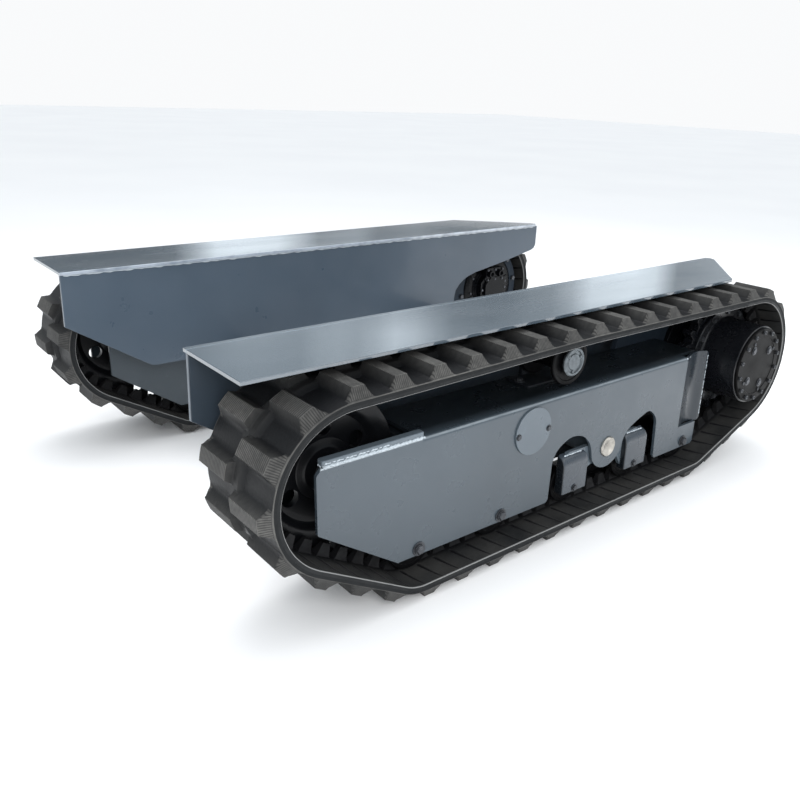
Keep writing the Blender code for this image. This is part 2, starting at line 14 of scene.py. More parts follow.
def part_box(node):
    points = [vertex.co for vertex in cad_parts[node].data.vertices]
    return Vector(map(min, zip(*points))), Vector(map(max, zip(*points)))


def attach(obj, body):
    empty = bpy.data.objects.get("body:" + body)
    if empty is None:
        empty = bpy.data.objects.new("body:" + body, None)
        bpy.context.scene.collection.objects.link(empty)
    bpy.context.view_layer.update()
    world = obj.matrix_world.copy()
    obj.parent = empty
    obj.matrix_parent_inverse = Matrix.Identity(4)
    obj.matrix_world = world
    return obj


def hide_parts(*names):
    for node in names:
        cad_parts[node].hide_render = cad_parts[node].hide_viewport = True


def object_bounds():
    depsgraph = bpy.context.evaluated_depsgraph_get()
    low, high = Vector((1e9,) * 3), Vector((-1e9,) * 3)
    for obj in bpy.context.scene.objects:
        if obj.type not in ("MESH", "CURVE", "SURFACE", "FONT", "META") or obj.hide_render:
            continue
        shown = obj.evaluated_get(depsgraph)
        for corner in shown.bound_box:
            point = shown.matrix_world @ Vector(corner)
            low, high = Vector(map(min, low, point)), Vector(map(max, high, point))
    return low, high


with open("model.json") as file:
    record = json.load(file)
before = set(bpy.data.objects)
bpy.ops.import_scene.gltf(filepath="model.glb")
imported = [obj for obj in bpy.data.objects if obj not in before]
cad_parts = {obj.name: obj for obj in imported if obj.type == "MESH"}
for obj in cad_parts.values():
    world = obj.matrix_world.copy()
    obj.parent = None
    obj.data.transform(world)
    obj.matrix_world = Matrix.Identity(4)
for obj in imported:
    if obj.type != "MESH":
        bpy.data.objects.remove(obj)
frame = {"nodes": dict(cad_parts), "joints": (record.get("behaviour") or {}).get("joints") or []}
cad_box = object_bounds()

SIDES = {"left": -1.0, "right": 1.0}
JOINTS = {joint["name"]: joint for joint in frame["joints"]}
CHASSIS = "chassis"

# Belt, in metres
BELT_T = 0.016
BLOCK_H = 0.024
GUIDE_H = 0.026
PITCH = 0.048
TRACK_HALF = 0.125
RIM_CHAMFER = 0.0012
DRIVE_WRAP = 0.192
IDLER_WRAP = 0.176
UPPER_WRAP = 0.200
LOWER_WRAP = 0.120

# Axles
AXLE_R = 0.012
AXLE_BORE = 0.0127

# Plates; depths are distances from the centre plane
PLATE_T = 0.008
BAR_T = 0.013
DECK_EDGE = 0.365
DECK_UNDER = 0.531

BLUE_GREY = (0.096, 0.120, 0.142)
SIDE_RUBBER = (0.012, 0.013, 0.014)


# ---------------------------------------------------------------- places in the frame
def axis_of(side, joint):
    """(x, distance from the centre plane, z) of a hinge on one side."""
    x, y, z = JOINTS[f"{side}_{joint}"]["pos_m"]
    return x, abs(y), z


def span(side, node):
    """Lowest and highest corners of a node, with Y as the distance from the centre plane."""
    lo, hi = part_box(f"{side}_{node}")
    near, far = sorted((abs(lo.y), abs(hi.y)))
    return Vector((lo.x, near, lo.z)), Vector((hi.x, far, hi.z))


# ---------------------------------------------------------------- materials
class Nodes:
    """A node tree and the few kinds of nodes that this script uses."""

    def __init__(self, owner, coordinates):
        owner.use_nodes = True
        self.tree = owner.node_tree
        self.coordinates = self.node("ShaderNodeTexCoord").outputs[coordinates]

    def node(self, kind, **settings):
        made = self.tree.nodes.new(kind)
        for key, value in settings.items():
            setattr(made, key, value)
        return made

    def link(self, source, target):
        if isinstance(source, (int, float, tuple)):
            target.default_value = source
        else:
            self.tree.links.new(source, target)

    def axes(self, vector=None):
        """X, Y and Z of a vector, or of the coordinates."""
        made = self.node("ShaderNodeSeparateXYZ")
        self.link(self.coordinates if vector is None else vector, made.inputs["Vector"])
        return [made.outputs[axis] for axis in "XYZ"]

    def noise(self, scale, detail=2.0, stretch=None):
        vector = self.coordinates
        if stretch:
            mapping = self.node("ShaderNodeMapping")
            mapping.inputs["Scale"].default_value = stretch
            self.link(vector, mapping.inputs["Vector"])
            vector = mapping.outputs["Vector"]
        noise = self.node("ShaderNodeTexNoise")
        noise.inputs["Scale"].default_value = scale
        noise.inputs["Detail"].default_value = detail
        self.link(vector, noise.inputs["Vector"])
        return noise.outputs["Fac"]

    def remap(self, value, low, high, to_low=0.0, to_high=1.0):
        made = self.node("ShaderNodeMapRange")
        for key, number in zip(("From Min", "From Max", "To Min", "To Max"),
                               (low, high, to_low, to_high)):
            made.inputs[key].default_value = number
        self.link(value, made.inputs["Value"])
        return made.outputs["Result"]

    def maths(self, operation, a, b=0.0):
        made = self.node("ShaderNodeMath", operation=operation)
        self.link(a, made.inputs[0])
        self.link(b, made.inputs[1])
        return made.outputs[0]

    def mix(self, factor, a, b):
        made = self.node("ShaderNodeMix", data_type="RGBA")
        self.link(factor, made.inputs["Factor"])
        for value, key in ((a, "A"), (b, "B")):
            socket = [s for s in made.inputs if s.name == key and s.type == "RGBA"][0]
            self.link((*value, 1.0) if isinstance(value, tuple) and len(value) == 3 else value, socket)
        return [s for s in made.outputs if s.type == "RGBA"][0]


class Shader(Nodes):
    """A Principled material in object coordinates."""

    def __init__(self, name, roughness, metallic=0.0, coat=0.0, coat_roughness=0.1, specular=0.5,
                 coat_ior=1.5):
        self.material = bpy.data.materials.new(name)
        super().__init__(self.material, "Object")
        self.bsdf = self.tree.nodes["Principled BSDF"]
        for key, value in (("Roughness", roughness), ("Metallic", metallic), ("Coat Weight", coat),
                           ("Coat Roughness", coat_roughness), ("Coat IOR", coat_ior),
                           ("Specular IOR Level", specular)):
            self.bsdf.inputs[key].default_value = value
        self.normal = None

    def bump(self, height, distance):
        made = self.node("ShaderNodeBump")
        made.inputs["Distance"].default_value = distance
        self.link(height, made.inputs["Height"])
        if self.normal is not None:
            self.link(self.normal, made.inputs["Normal"])
        self.normal = made.outputs["Normal"]

    def finish(self, colour, roughness=None):
        self.link(colour, self.bsdf.inputs["Base Color"])
        if roughness is not None:
            self.link(roughness, self.bsdf.inputs["Roughness"])
        if self.normal is not None:
            self.link(self.normal, self.bsdf.inputs["Normal"])
        return self.material


def scaled(colour, factor):
    return tuple(min(1.0, channel * factor) for channel in colour)


def paint(name, colour, rough, coat, wave, dust_and_light=0.25, specular=0.5, shade=None, glint=None, walls=0.0):
    """Sprayed enamel on rolled plate: cloudy colour, orange peel and slightly wavy gloss.

    shade is (unshaded depth, shaded depth, strength): painted shade that deepens between two
    distances from the centre plane.  glint is (|y|, z, reach): a painted highlight, the brighter line
    along a folded edge.  walls is painted shade on faces turned to the front or the rear.
    """
    s = Shader(name, rough, coat=coat, coat_roughness=0.08, specular=specular)
    clouds = s.remap(s.noise(2.6, 5.0), 0.30, 0.70)
    base = s.mix(clouds, scaled(colour, 0.90), scaled(colour, 1.10))
    specks = s.remap(s.noise(46.0, 6.0), 0.58, 0.80, 0.0, dust_and_light)
    base = s.mix(specks, base, scaled(colour, 1.55))
    if shade or glint:
        _, y, z = s.axes()
        across = s.maths("ABSOLUTE", y)
    # Painted shade: the colour darkens between two distances from the centre plane.
    if shade:
        unshaded_depth, shaded_depth, strength = shade
        grime_and_shade = s.remap(across, unshaded_depth, shaded_depth, 0.0, strength)
        base = s.mix(grime_and_shade, base, s.mix(clouds, scaled(colour, 0.10), scaled(colour, 0.22)))
    # Painted shade on faces turned to the front or the rear.
    if walls:
        facing = s.axes(s.node("ShaderNodeNewGeometry").outputs["Normal"])
        wall_shade_mask = s.remap(s.maths("ABSOLUTE", facing[0]), 0.55, 0.85, 0.0, walls)
        base = s.mix(wall_shade_mask, base, scaled(colour, 0.12))
    # Painted highlight: a pale line along a folded edge.
    if glint:
        edge_y, edge_z, reach = glint
        off_y = s.maths("ABSOLUTE", s.maths("SUBTRACT", across, edge_y))
        off_z = s.maths("ABSOLUTE", s.maths("SUBTRACT", z, edge_z))
        near = s.remap(s.maths("ADD", off_y, off_z), reach, reach * 0.45)
        near = s.maths("MULTIPLY", near, s.remap(s.noise(14.0, 4.0), 0.25, 0.60, 0.35, 1.0))
        base = s.mix(near, base, (0.52, 0.58, 0.62))
    s.bump(s.noise(3.2, 0.0), wave)
    s.bump(s.noise(420.0, 1.0), 0.00012)
    roughness = s.remap(s.noise(17.0, 4.0), 0.30, 0.75, rough * 0.8, rough * 1.35)
    return s.finish(base, roughness)


def deck_paint(name, colour, seam_y, seam_half):
    """The deck's glossy enamel: a ground weld over the web drawn lighter as a painted highlight, a painted
    highlight along the inner edge, painted shade on the underside.
    """
    s = Shader(name, 0.18, coat=1.0, coat_roughness=0.035, coat_ior=2.1)
    clouds = s.remap(s.noise(1.7, 4.0, stretch=(0.6, 2.0, 1.0)), 0.32, 0.68)
    base = s.mix(clouds, scaled(colour, 0.94), scaled(colour, 1.12))
    _, y, z = s.axes()
    across = s.maths("ABSOLUTE", y)
    # The ground weld's line with its bump; its lighter colour is a painted highlight.
    offset = s.maths("ABSOLUTE", s.maths("SUBTRACT", across, seam_y))
    ripple = s.remap(s.noise(210.0, 2.0), 0.35, 0.65, 0.25, 1.0)
    seam = s.maths("MULTIPLY", s.remap(offset, seam_half * 0.6, seam_half, 1.0, 0.0), ripple)
    base = s.mix(seam, base, scaled(colour, 2.6))
    scuffs = s.remap(s.noise(9.0, 8.0, stretch=(0.4, 3.0, 1.0)), 0.60, 0.75, 0.0, 0.35)
    base = s.mix(scuffs, base, scaled(colour, 1.35))
    # Painted shade on the underside near the inner edge.
    underside_shade = s.maths("MULTIPLY", s.remap(z, DECK_UNDER + 0.0012, DECK_UNDER + 0.0002),
                    s.remap(across, DECK_EDGE + 0.0030, DECK_EDGE + 0.0070))
    base = s.mix(underside_shade, base, scaled(colour, 0.20))
    # Painted highlight along the inner edge, broken up by noise.
    highlight_breakup = s.remap(s.noise(26.0, 4.0), 0.30, 0.60, 0.45, 1.0)
    edge = s.maths("MULTIPLY", s.remap(across, DECK_EDGE + 0.0018, DECK_EDGE + 0.0005), highlight_breakup)
    base = s.mix(edge, base, (0.42, 0.47, 0.54))
    s.bump(s.noise(2.1, 1.0, stretch=(1.0, 2.2, 1.0)), 0.006)
    s.bump(seam, 0.0012)
    s.bump(s.noise(380.0, 1.0), 0.0001)
    roughness = s.remap(s.noise(6.0, 5.0, stretch=(0.5, 2.5, 1.0)), 0.30, 0.72, 0.14, 0.30)
    return s.finish(base, roughness)


def metal(name, colour, rough, metallic, grain=0.00008):
    """Bare or plated steel with fine scratches."""
    s = Shader(name, rough, metallic=metallic)
    spots = s.remap(s.noise(70.0, 5.0), 0.35, 0.70)
    base = s.mix(spots, scaled(colour, 0.72), scaled(colour, 1.12))
    s.bump(s.noise(300.0, 3.0), grain)
    roughness = s.remap(s.noise(120.0, 3.0), 0.30, 0.70, rough * 0.7, rough * 1.4)
    return s.finish(base, roughness)


def tread_rubber(name):
    """Moulded rubber: dusty ribbed tops; painted light on end faces, painted shade in valleys, painted rim
    highlight.

    The belt attribute holds (place along the belt, place across it, height over the belt).
    """
    s = Shader(name, 0.62, specular=0.22)
    along, across, height = s.axes(s.node("ShaderNodeAttribute", attribute_name="belt").outputs["Vector"])
    top = s.remap(height, BLOCK_H * 0.93, BLOCK_H * 0.985)
    edge = s.remap(s.maths("ABSOLUTE", across), TRACK_HALF - 0.0155, TRACK_HALF - 0.0135)
    end_face = s.maths("MULTIPLY", edge, s.remap(height, BLOCK_H * 0.03, BLOCK_H * 0.12))
    top_ribs = s.maths("SINE", s.maths("MULTIPLY", across, 2.0 * math.pi / 0.0052))
    end_ribs = s.maths("SINE", s.maths("MULTIPLY", along, 2.0 * math.pi / 0.0042))
    top_ribs = s.maths("MULTIPLY", s.remap(top_ribs, -0.5, 0.6, 0.25, 1.0), top)
    end_ribs = s.maths("MULTIPLY", s.remap(end_ribs, -0.9, 0.2, 0.25, 0.75), end_face)
    ribs = s.maths("MAXIMUM", top_ribs, end_ribs)
    grime_and_shade = s.remap(s.noise(5.0, 6.0), 0.30, 0.72)
    fine = s.remap(s.noise(85.0, 6.0), 0.30, 0.70, 0.55, 1.0)
    dark = s.mix(grime_and_shade, (0.0045, 0.0050, 0.0060), (0.0130, 0.0136, 0.0145))
    # Dust colour: real dust on the block tops, painted light on the end faces, flanks and rim.
    dust_and_light = s.mix(grime_and_shade, (0.078, 0.077, 0.074), (0.165, 0.161, 0.152))
    # Painted highlight: a pale band along the belt's rim.
    rim_highlight = s.remap(s.maths("ABSOLUTE", across), TRACK_HALF - 0.0030, TRACK_HALF - 0.0012, 0.0, 0.8)
    cover = s.maths("MULTIPLY", s.maths("MAXIMUM", ribs, rim_highlight), fine)
    # Painted shade: the flanks darken towards the valley floor.
    flank = s.remap(height, BLOCK_H * 0.10, BLOCK_H * 0.90, 0.0, 0.30)
    cover = s.maths("MAXIMUM", cover, s.maths("MULTIPLY", flank, fine))
    side = s.remap(height, -0.02, -0.06)
    base = s.mix(side, s.mix(cover, dark, dust_and_light), SIDE_RUBBER)
    s.bump(ribs, 0.0010)
    s.bump(s.noise(160.0, 5.0), 0.0005)
    roughness = s.remap(cover, 0.0, 1.0, 0.50, 0.86)
    return s.finish(base, roughness)


def carcass_rubber(name):
    """Inner face of the belt: dark, polished by the rollers, with a painted highlight along its rim and
    painted shade in its grooves and lug band.
    """
    s = Shader(name, 0.55, specular=0.25)
    _, y, depth = s.axes(s.node("ShaderNodeAttribute", attribute_name="belt").outputs["Vector"])
    across = s.maths("ABSOLUTE", y)
    # Painted highlight: a pale band along the rim.
    rim = s.remap(across, TRACK_HALF - 0.0036, TRACK_HALF - 0.0016)
    grime_and_shade = s.remap(s.noise(8.0, 7.0), 0.32, 0.70)
    dark = s.mix(grime_and_shade, (0.014, 0.015, 0.016), (0.042, 0.041, 0.039))
    # Painted shade in the grooves, the pockets and the band of guide lugs.
    deep = s.remap(depth, -0.0020, -0.0002, 1.0, 0.0)
    middle = s.remap(across, 0.0470, 0.0560, 1.0, 0.0)
    groove_and_lug_shade = s.maths("MAXIMUM", deep, s.maths("MULTIPLY", middle, 0.8))
    dark = s.mix(groove_and_lug_shade, dark, (0.005, 0.005, 0.006))
    base = s.mix(rim, dark, (0.230, 0.232, 0.230))
    base = s.mix(s.remap(depth, -0.02, -0.06), base, SIDE_RUBBER)
    s.bump(s.noise(130.0, 5.0), 0.0006)
    roughness = s.remap(s.noise(22.0, 4.0), 0.30, 0.70, 0.42, 0.78)
    return s.finish(base, roughness)


LOOKS = {
    "plate": ("blue_grey_paint", paint("plate_paint", BLUE_GREY, 0.34, 0.25, 0.004)),
    # Shell: painted shade, with the belt's dark reflection, on the top inwards of the fold; a painted
    # highlight along the fold.
    "shell": ("blue_grey_paint", paint("shell_paint", (0.050, 0.066, 0.081), 0.30, 0.35, 0.005, 0.08,
                                       shade=(0.6120, 0.5760, 1.0), glint=(0.6160, 0.3515, 0.0046))),
    # Bogie boxes: painted shade on their front and rear walls.
    "boxes": ("blue_grey_paint", paint("box_paint", (0.036, 0.046, 0.058), 0.28, 0.45, 0.003, walls=0.9)),
    "mount": ("dark_steel", paint("mount_paint", (0.020, 0.028, 0.039), 0.42, 0.0, 0.003, 0.2, 0.12)),
    "motor": ("black_paint", paint("motor_black", (0.0030, 0.0034, 0.0044), 0.24, 0.04, 0.002, 0.15, 0.16)),
    # Web: painted shade on its face towards the belt.
    "web": ("blue_grey_paint", paint("web_paint", (0.064, 0.087, 0.115), 0.34, 0.25, 0.004, 0.08,
                                     shade=(0.3795, 0.3812, 0.62))),
    # Inner side plate: the plate paint darkened as painted shade, with more painted shade on its face
    # towards the inside of the frame.
    "inner": ("blue_grey_paint", paint("inner_paint", scaled(BLUE_GREY, 0.55), 0.40, 0.15, 0.003,
                                       shade=(0.4585, 0.4605, 1.0))),
    "deck": ("blue_grey_paint", deck_paint("deck_paint", (0.056, 0.080, 0.104), 0.3795, 0.0028)),
    # Weld beads: the blue-grey paint made about four times lighter, a painted highlight along each bead.
    "weld": ("blue_grey_paint", paint("weld_paint", (0.40, 0.45, 0.49), 0.14, 0.9, 0.001)),
    "black": ("black_paint", paint("black_gloss", (0.0045, 0.0050, 0.0065), 0.26, 0.20, 0.002, 0.6)),
    "roller": ("black_paint", paint("roller_black", (0.0026, 0.0026, 0.0030), 0.45, 0.0, 0.001, 0.6, 0.12)),
    "idler": ("black_paint", paint("idler_black", (0.0036, 0.0039, 0.0048), 0.36, 0.10, 0.002, 0.6, 0.22)),
    # Rear guard: the blue-grey paint made much darker as painted shade.
    "guard": ("blue_grey_paint", paint("guard_paint", (0.014, 0.020, 0.027), 0.28, 0.20, 0.004)),
    "cover": ("black_paint", paint("cover_black", (0.0035, 0.0034, 0.0036), 0.36, 0.0, 0.001, 0.45, 0.07)),
    "dark": ("dark_steel", paint("dark_paint", (0.010, 0.012, 0.015), 0.36, 0.15, 0.002, 0.5)),
    "bolt": ("zinc_steel", metal("bolt_steel", (0.10, 0.105, 0.115), 0.36, 0.80)),
    "zinc": ("zinc_steel", metal("zinc_cap", (0.16, 0.18, 0.195), 0.40, 0.65, 0.0004)),
    "bright": ("bright_steel", metal("bright_pin", (0.56, 0.53, 0.48), 0.34, 1.0, 0.0002)),
    "tread": ("track_rubber", tread_rubber("tread_rubber")),
    "carcass": ("track_rubber", carcass_rubber("carcass_rubber")),
}


# ---------------------------------------------------------------- mesh helpers
def prism(outline, lo, hi, axis="y", holes=()):
    """Extrude a closed outline along an axis.  Outlines are (x, z), (x, y) or (y, z)."""
    def place(a, b, c):
        if axis == "y":
            return (a, c, b)
        if axis == "z":
            return (a, b, c)
        return (c, a, b)

    bm = bmesh.new()
    edges = []
    for loop in (outline, *holes):
        verts = [bm.verts.new(place(a, b, lo)) for a, b in loop]
        edges += [bm.edges.new((verts[i - 1], verts[i])) for i in range(len(verts))]
    bmesh.ops.triangle_fill(bm, use_beauty=True, edges=edges)
    region = bmesh.ops.extrude_face_region(bm, geom=bm.faces[:])
    moved = [g for g in region["geom"] if isinstance(g, bmesh.types.BMVert)]
    bmesh.ops.translate(bm, verts=moved, vec=place(0.0, 0.0, hi - lo))
    bmesh.ops.dissolve_limit(bm, angle_limit=0.001, verts=bm.verts[:], edges=bm.edges[:])
    bmesh.ops.recalc_face_normals(bm, faces=bm.faces[:])
    return bm


def rect(x0, x1, z0, z1):
    return [(x0, z0), (x1, z0), (x1, z1), (x0, z1)]


def circle(cx, cz, radius, count, phase=0.0):
    turn = 2.0 * math.pi / count
    return [(cx + radius * math.cos(turn * (i + phase)), cz + radius * math.sin(turn * (i + phase)))
            for i in range(count)]


def arc(cx, cz, radius, start, end, steps):
    angles = [math.radians(start + (end - start) * i / steps) for i in range(steps + 1)]
    return [(cx + radius * math.cos(a), cz + radius * math.sin(a)) for a in angles]


def rounded(outline, radius, steps=5):
    """Round every corner of a closed outline, by less where its edges are short."""
    points = [Vector(p) for p in outline]
    made = []
    for i, corner in enumerate(points):
        before = points[i - 1] - corner
        after = points[(i + 1) % len(points)] - corner
        reach = min(radius, before.length * 0.45, after.length * 0.45)
        a = corner + before.normalized() * reach
        b = corner + after.normalized() * reach
        for k in range(steps + 1):
            t = k / steps
            made.append(tuple(a * (1 - t) ** 2 + corner * 2 * t * (1 - t) + b * t ** 2))
    return made


def through(points, steps=6):
    """Smooth open curve through every point (Catmull-Rom)."""
    pts = [Vector(p) for p in points]
    pts = [pts[0] * 2 - pts[1], *pts, pts[-1] * 2 - pts[-2]]
    made = []
    for a, b, c, d in zip(pts, pts[1:], pts[2:], pts[3:]):
        for k in range(steps):
            t = k / steps
            made.append(tuple(0.5 * (2 * b + (c - a) * t + (2 * a - 5 * b + 4 * c - d) * t ** 2
                                     + (3 * b - a - 3 * c + d) * t ** 3)))
    return [*made, tuple(pts[-2])]


def lathe(profile, centre, segments=64, axis="y"):
    """Turn (radius, place along the axis) round a line; open at neither end.

    centre is (x, z) for a turn about Y, (y, z) about X and (x, y) about Z.
    """
    bm = bmesh.new()
    rings = []
    for radius, along in profile:
        ring = []
        for i in range(segments if radius > 0.0 else 1):
            a = 2.0 * math.pi * i / segments
            u = centre[0] + radius * math.cos(a)
            v = centre[1] + radius * math.sin(a)
            ring.append(bm.verts.new({"y": (u, along, v), "x": (along, u, v), "z": (u, v, along)}[axis]))
        rings.append(ring)
    pairs = list(zip(rings, rings[1:]))
    if profile[0][0] > 0.0:
        pairs.append((rings[-1], rings[0]))
    for a, b in pairs:
        for i in range(segments):
            j = (i + 1) % segments
            corners = [a[i % len(a)], a[j % len(a)], b[j % len(b)], b[i % len(b)]]
            bm.faces.new([v for n, v in enumerate(corners) if v not in corners[:n]])
    bmesh.ops.recalc_face_normals(bm, faces=bm.faces[:])
    return bm


def rod(radius, start, end, centre, segments, axis="y"):
    return lathe([(0.0, start), (radius, start), (radius, end), (0.0, end)], centre, segments, axis)


def sleeve(bore, radius, start, end, centre, segments):
    return lathe([(bore, start), (radius, start), (radius, end), (bore, end)], centre, segments)


def two_sided(half, centre):
    """Closed profile from the (radius, distance) points on one side of a wheel's middle plane."""
    return [(r, centre - d) for r, d in half] + [(r, centre + d) for r, d in reversed(half)]


def joined(parts):
    """One mesh that holds several closed bodies."""
    whole = bmesh.new()
    for part in parts:
        mesh = bpy.data.meshes.new("part")
        part.to_mesh(mesh)
        part.free()
        whole.from_mesh(mesh)
        bpy.data.meshes.remove(mesh)
    return whole


def fused(base, others, operation="UNION"):
    """Exact boolean of closed meshes."""
    made = []
    for bm in (base, *others):
        mesh = bpy.data.meshes.new("cut")
        bm.to_mesh(mesh)
        bm.free()
        obj = bpy.data.objects.new("cut", mesh)
        bpy.context.scene.collection.objects.link(obj)
        made.append(obj)
    for other in made[1:]:
        mod = made[0].modifiers.new("cut", "BOOLEAN")
        mod.operation = operation
        mod.solver = "EXACT"
        mod.object = other
    bm = bmesh.new()
    bm.from_object(made[0], bpy.context.evaluated_depsgraph_get())
    for obj in made:
        bpy.data.objects.remove(obj, do_unlink=True)
    bmesh.ops.remove_doubles(bm, verts=bm.verts[:], dist=1e-6)
    bmesh.ops.dissolve_limit(bm, angle_limit=0.001, verts=bm.verts[:], edges=bm.edges[:])
    return bm


def hex_bolt(x, z, y, radius, height, washer=0.0):
    """Chamfered hexagon head standing out from y, towards -Y if its height is negative."""
    head = lathe([(0.0, y), (radius, y), (radius, y + height * 0.78), (radius * 0.84, y + height),
                  (0.0, y + height)], (x, z), 6)
    if not washer:
        return head
    return joined([head, rod(washer, y, y + 0.0018, (x, z), 24)])


def socket_bolt(x, z, y, radius, height):
    """Cap screw standing out along +Y, with its recess."""
    return lathe([(0.0, y + height * 0.45), (radius * 0.48, y + height * 0.45),
                  (radius * 0.54, y + height), (radius * 0.88, y + height),
                  (radius, y + height * 0.86), (radius, y), (0.0, y)], (x, z), 18)


def weld(points, radius, step=0.0032, sides=8):
    """A rippled bead along a route of straight stretches."""
    route = []
    for a, b in zip(points, points[1:]):
        a = Vector(a)
        b = Vector(b)
        count = max(2, round((b - a).length / step))
        route += [a.lerp(b, i / count) for i in range(count)]
    route.append(Vector(points[-1]))
    bm = bmesh.new()
    rings = []
    for i, point in enumerate(route):
        ahead = (route[min(i + 1, len(route) - 1)] - route[max(i - 1, 0)]).normalized()
        right = ahead.cross(Vector((0.3, 0.5, 0.81))).normalized()
        up = right.cross(ahead)
        size = radius * (0.80 + 0.26 * math.sin(i * 2.1) + 0.16 * math.sin(i * 0.73 + 1.0))
        point = point + up * radius * 0.22 * math.sin(i * 1.31)
        if i in (0, len(route) - 1):
            size *= 0.4
        angles = [2.0 * math.pi * k / sides for k in range(sides)]
        rings.append([bm.verts.new(point + (right * math.cos(a) + up * math.sin(a)) * size)
                      for a in angles])
    for a, b in zip(rings, rings[1:]):
        for k in range(sides):
            bm.faces.new((a[k], a[(k + 1) % sides], b[(k + 1) % sides], b[k]))
    bm.faces.new(rings[0][::-1])
    bm.faces.new(rings[-1])
    bmesh.ops.recalc_face_normals(bm, faces=bm.faces[:])
    return bm


def piece(name, bm, side, body, look, nodes=(), bevel=0.0, crease=32.0):
    """Make a named piece on one side, riding on a body and standing for CAD nodes."""
    if SIDES.get(side, 1.0) < 0.0:
        bmesh.ops.scale(bm, vec=(1.0, -1.0, 1.0), verts=bm.verts[:])
        bmesh.ops.reverse_faces(bm, faces=bm.faces[:])
    mesh = bpy.data.meshes.new(name)
    bm.to_mesh(mesh)
    bm.free()
    obj = bpy.data.objects.new(name, mesh)
    bpy.context.scene.collection.objects.link(obj)
    mesh.shade_smooth()
    mesh.set_sharp_from_angle(angle=math.radians(crease))
    slot, material = LOOKS[look]
    mesh.materials.append(material)
    if bevel:
        add_bevel(obj, bevel)
    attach(obj, body)
    if nodes:
        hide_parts(*nodes)
    return obj


def add_bevel(obj, width):
    mod = obj.modifiers.new("edge", "BEVEL")
    mod.width = width
    mod.segments = 3
    mod.limit_method = "ANGLE"
    mod.angle_limit = math.radians(32.0)
    mod.harden_normals = True


def dress(node, look, bevel):
    """Finish a CAD node that keeps its own shape: its material and softened edges."""
    obj = frame["nodes"][node]
    slot, material = LOOKS[look]
    obj.data.materials.clear()
    obj.data.materials.append(material)
    weld_mod = obj.modifiers.new("weld", "WELD")
    weld_mod.merge_threshold = 0.00001
    flat = obj.modifiers.new("flat", "DECIMATE")
    flat.decimate_type = "DISSOLVE"
    flat.angle_limit = math.radians(0.5)
    add_bevel(obj, bevel)


# ---------------------------------------------------------------- belt
def belt_path(side):
    """Segments of the belt's middle line, counter-clockwise seen from -Y."""
    drive = axis_of(side, "drive_spin")
    idler = axis_of(side, "idler_spin")
    carrier = axis_of(side, "carrier_spin")
    low_z = BLOCK_H + LOWER_WRAP
    crown = carrier[2] + 0.0766 - UPPER_WRAP
    wraps = [
        (drive[0], drive[2], DRIVE_WRAP),
        (carrier[0], crown, UPPER_WRAP),
        (idler[0], idler[2], IDLER_WRAP),
        (axis_of(side, "front_roller_spin")[0] - 0.010, low_z, LOWER_WRAP),
        (axis_of(side, "rear_roller_spin")[0] + 0.010, low_z, LOWER_WRAP),
    ]
    circles = [(x, z, r - BELT_T / 2.0) for x, z, r in wraps]
    leaving = []
    for i, (x0, z0, r0) in enumerate(circles):
        x1, z1, r1 = circles[(i + 1) % len(circles)]
        gap = math.hypot(x1 - x0, z1 - z0)
        leaving.append(math.atan2(z1 - z0, x1 - x0) - math.acos((r0 - r1) / gap))
    segments = []
    for i, (x, z, r) in enumerate(circles):
        start = leaving[i - 1]
        end = start + (leaving[i] - start) % (2.0 * math.pi)
        segments.append(("arc", (x, z, r), start, end, r * (end - start)))
        x1, z1, r1 = circles[(i + 1) % len(circles)]
        a = Vector((x + r * math.cos(end), z + r * math.sin(end)))
        b = Vector((x1 + r1 * math.cos(end), z1 + r1 * math.sin(end)))
        segments.append(("line", (a, b), end, end, (b - a).length))
    return segments


def belt_place(segments, s):
    """Point and outward normal (x, z, nx, nz) at length s along the middle line."""
    for kind, shape, start, end, length in segments:
        if s <= length:
            break
        s -= length
    angle = start + (end - start) * min(1.0, s / length)
    if kind == "arc":
        x, z, r = shape
        return x + r * math.cos(angle), z + r * math.sin(angle), math.cos(angle), math.sin(angle)
    point = shape[0].lerp(shape[1], min(1.0, s / length))
    return point.x, point.y, math.cos(angle), math.sin(angle)


def ramp(value, stops):
    """Straight lines through (value, result) stops; flat beyond them."""
    if value <= stops[0][0]:
        return stops[0][1]
    for (a, fa), (b, fb) in zip(stops, stops[1:]):
        if value <= b:
            return fa + (fb - fa) * (value - a) / (b - a)
    return stops[-1][1]


def apart(u, centre, period):
    """Distance from centre on a loop of that period."""
    gap = abs(u - centre) % period
    return min(gap, period - gap)


# Shares of the full height against the distance from the middle of a block, lug or belt
BLOCK_SIDE = [(0.0122, 1.0), (0.0137, 0.965), (0.0195, 0.46), (0.0248, 0.12), (0.0285, 0.03),
              (0.0320, 0.0)]
BLOCK_END = [(0.1105, 1.0), (0.1120, 0.965), (0.1178, 0.45), (0.1222, 0.10), (0.1240, 0.02),
             (0.1250, 0.0)]
BLOCK_ROOT = [(0.0, 0.0), (0.0015, 0.10), (0.0045, 0.45), (0.0085, 0.965), (0.0100, 1.0)]
RIDGE = [(0.0140, 0.38), (0.0200, 0.20), (0.0260, 0.0)]
LUG_SIDE = [(0.0085, 1.0), (0.0095, 0.965), (0.0130, 0.45), (0.0158, 0.08), (0.0175, 0.0)]
LUG_CROSS = [(0.0205, 0.0), (0.0220, 0.08), (0.0245, 0.45), (0.0270, 0.965), (0.0285, 1.0),
             (0.0355, 1.0), (0.0370, 0.965), (0.0395, 0.45), (0.0420, 0.08), (0.0435, 0.0)]
GROOVE = (0.0, 0.0012, 0.0028, 0.0048, 0.0062)
GROOVE_REACH = [(0.0500, 0.0), (0.0560, 1.0), (0.1130, 0.8), (0.1215, 0.0)]
GROOVE_START = 0.0500
GROOVE_DEPTH = 0.0034
POCKET_DEPTH = 0.0030
POCKET_HALF = 0.0140


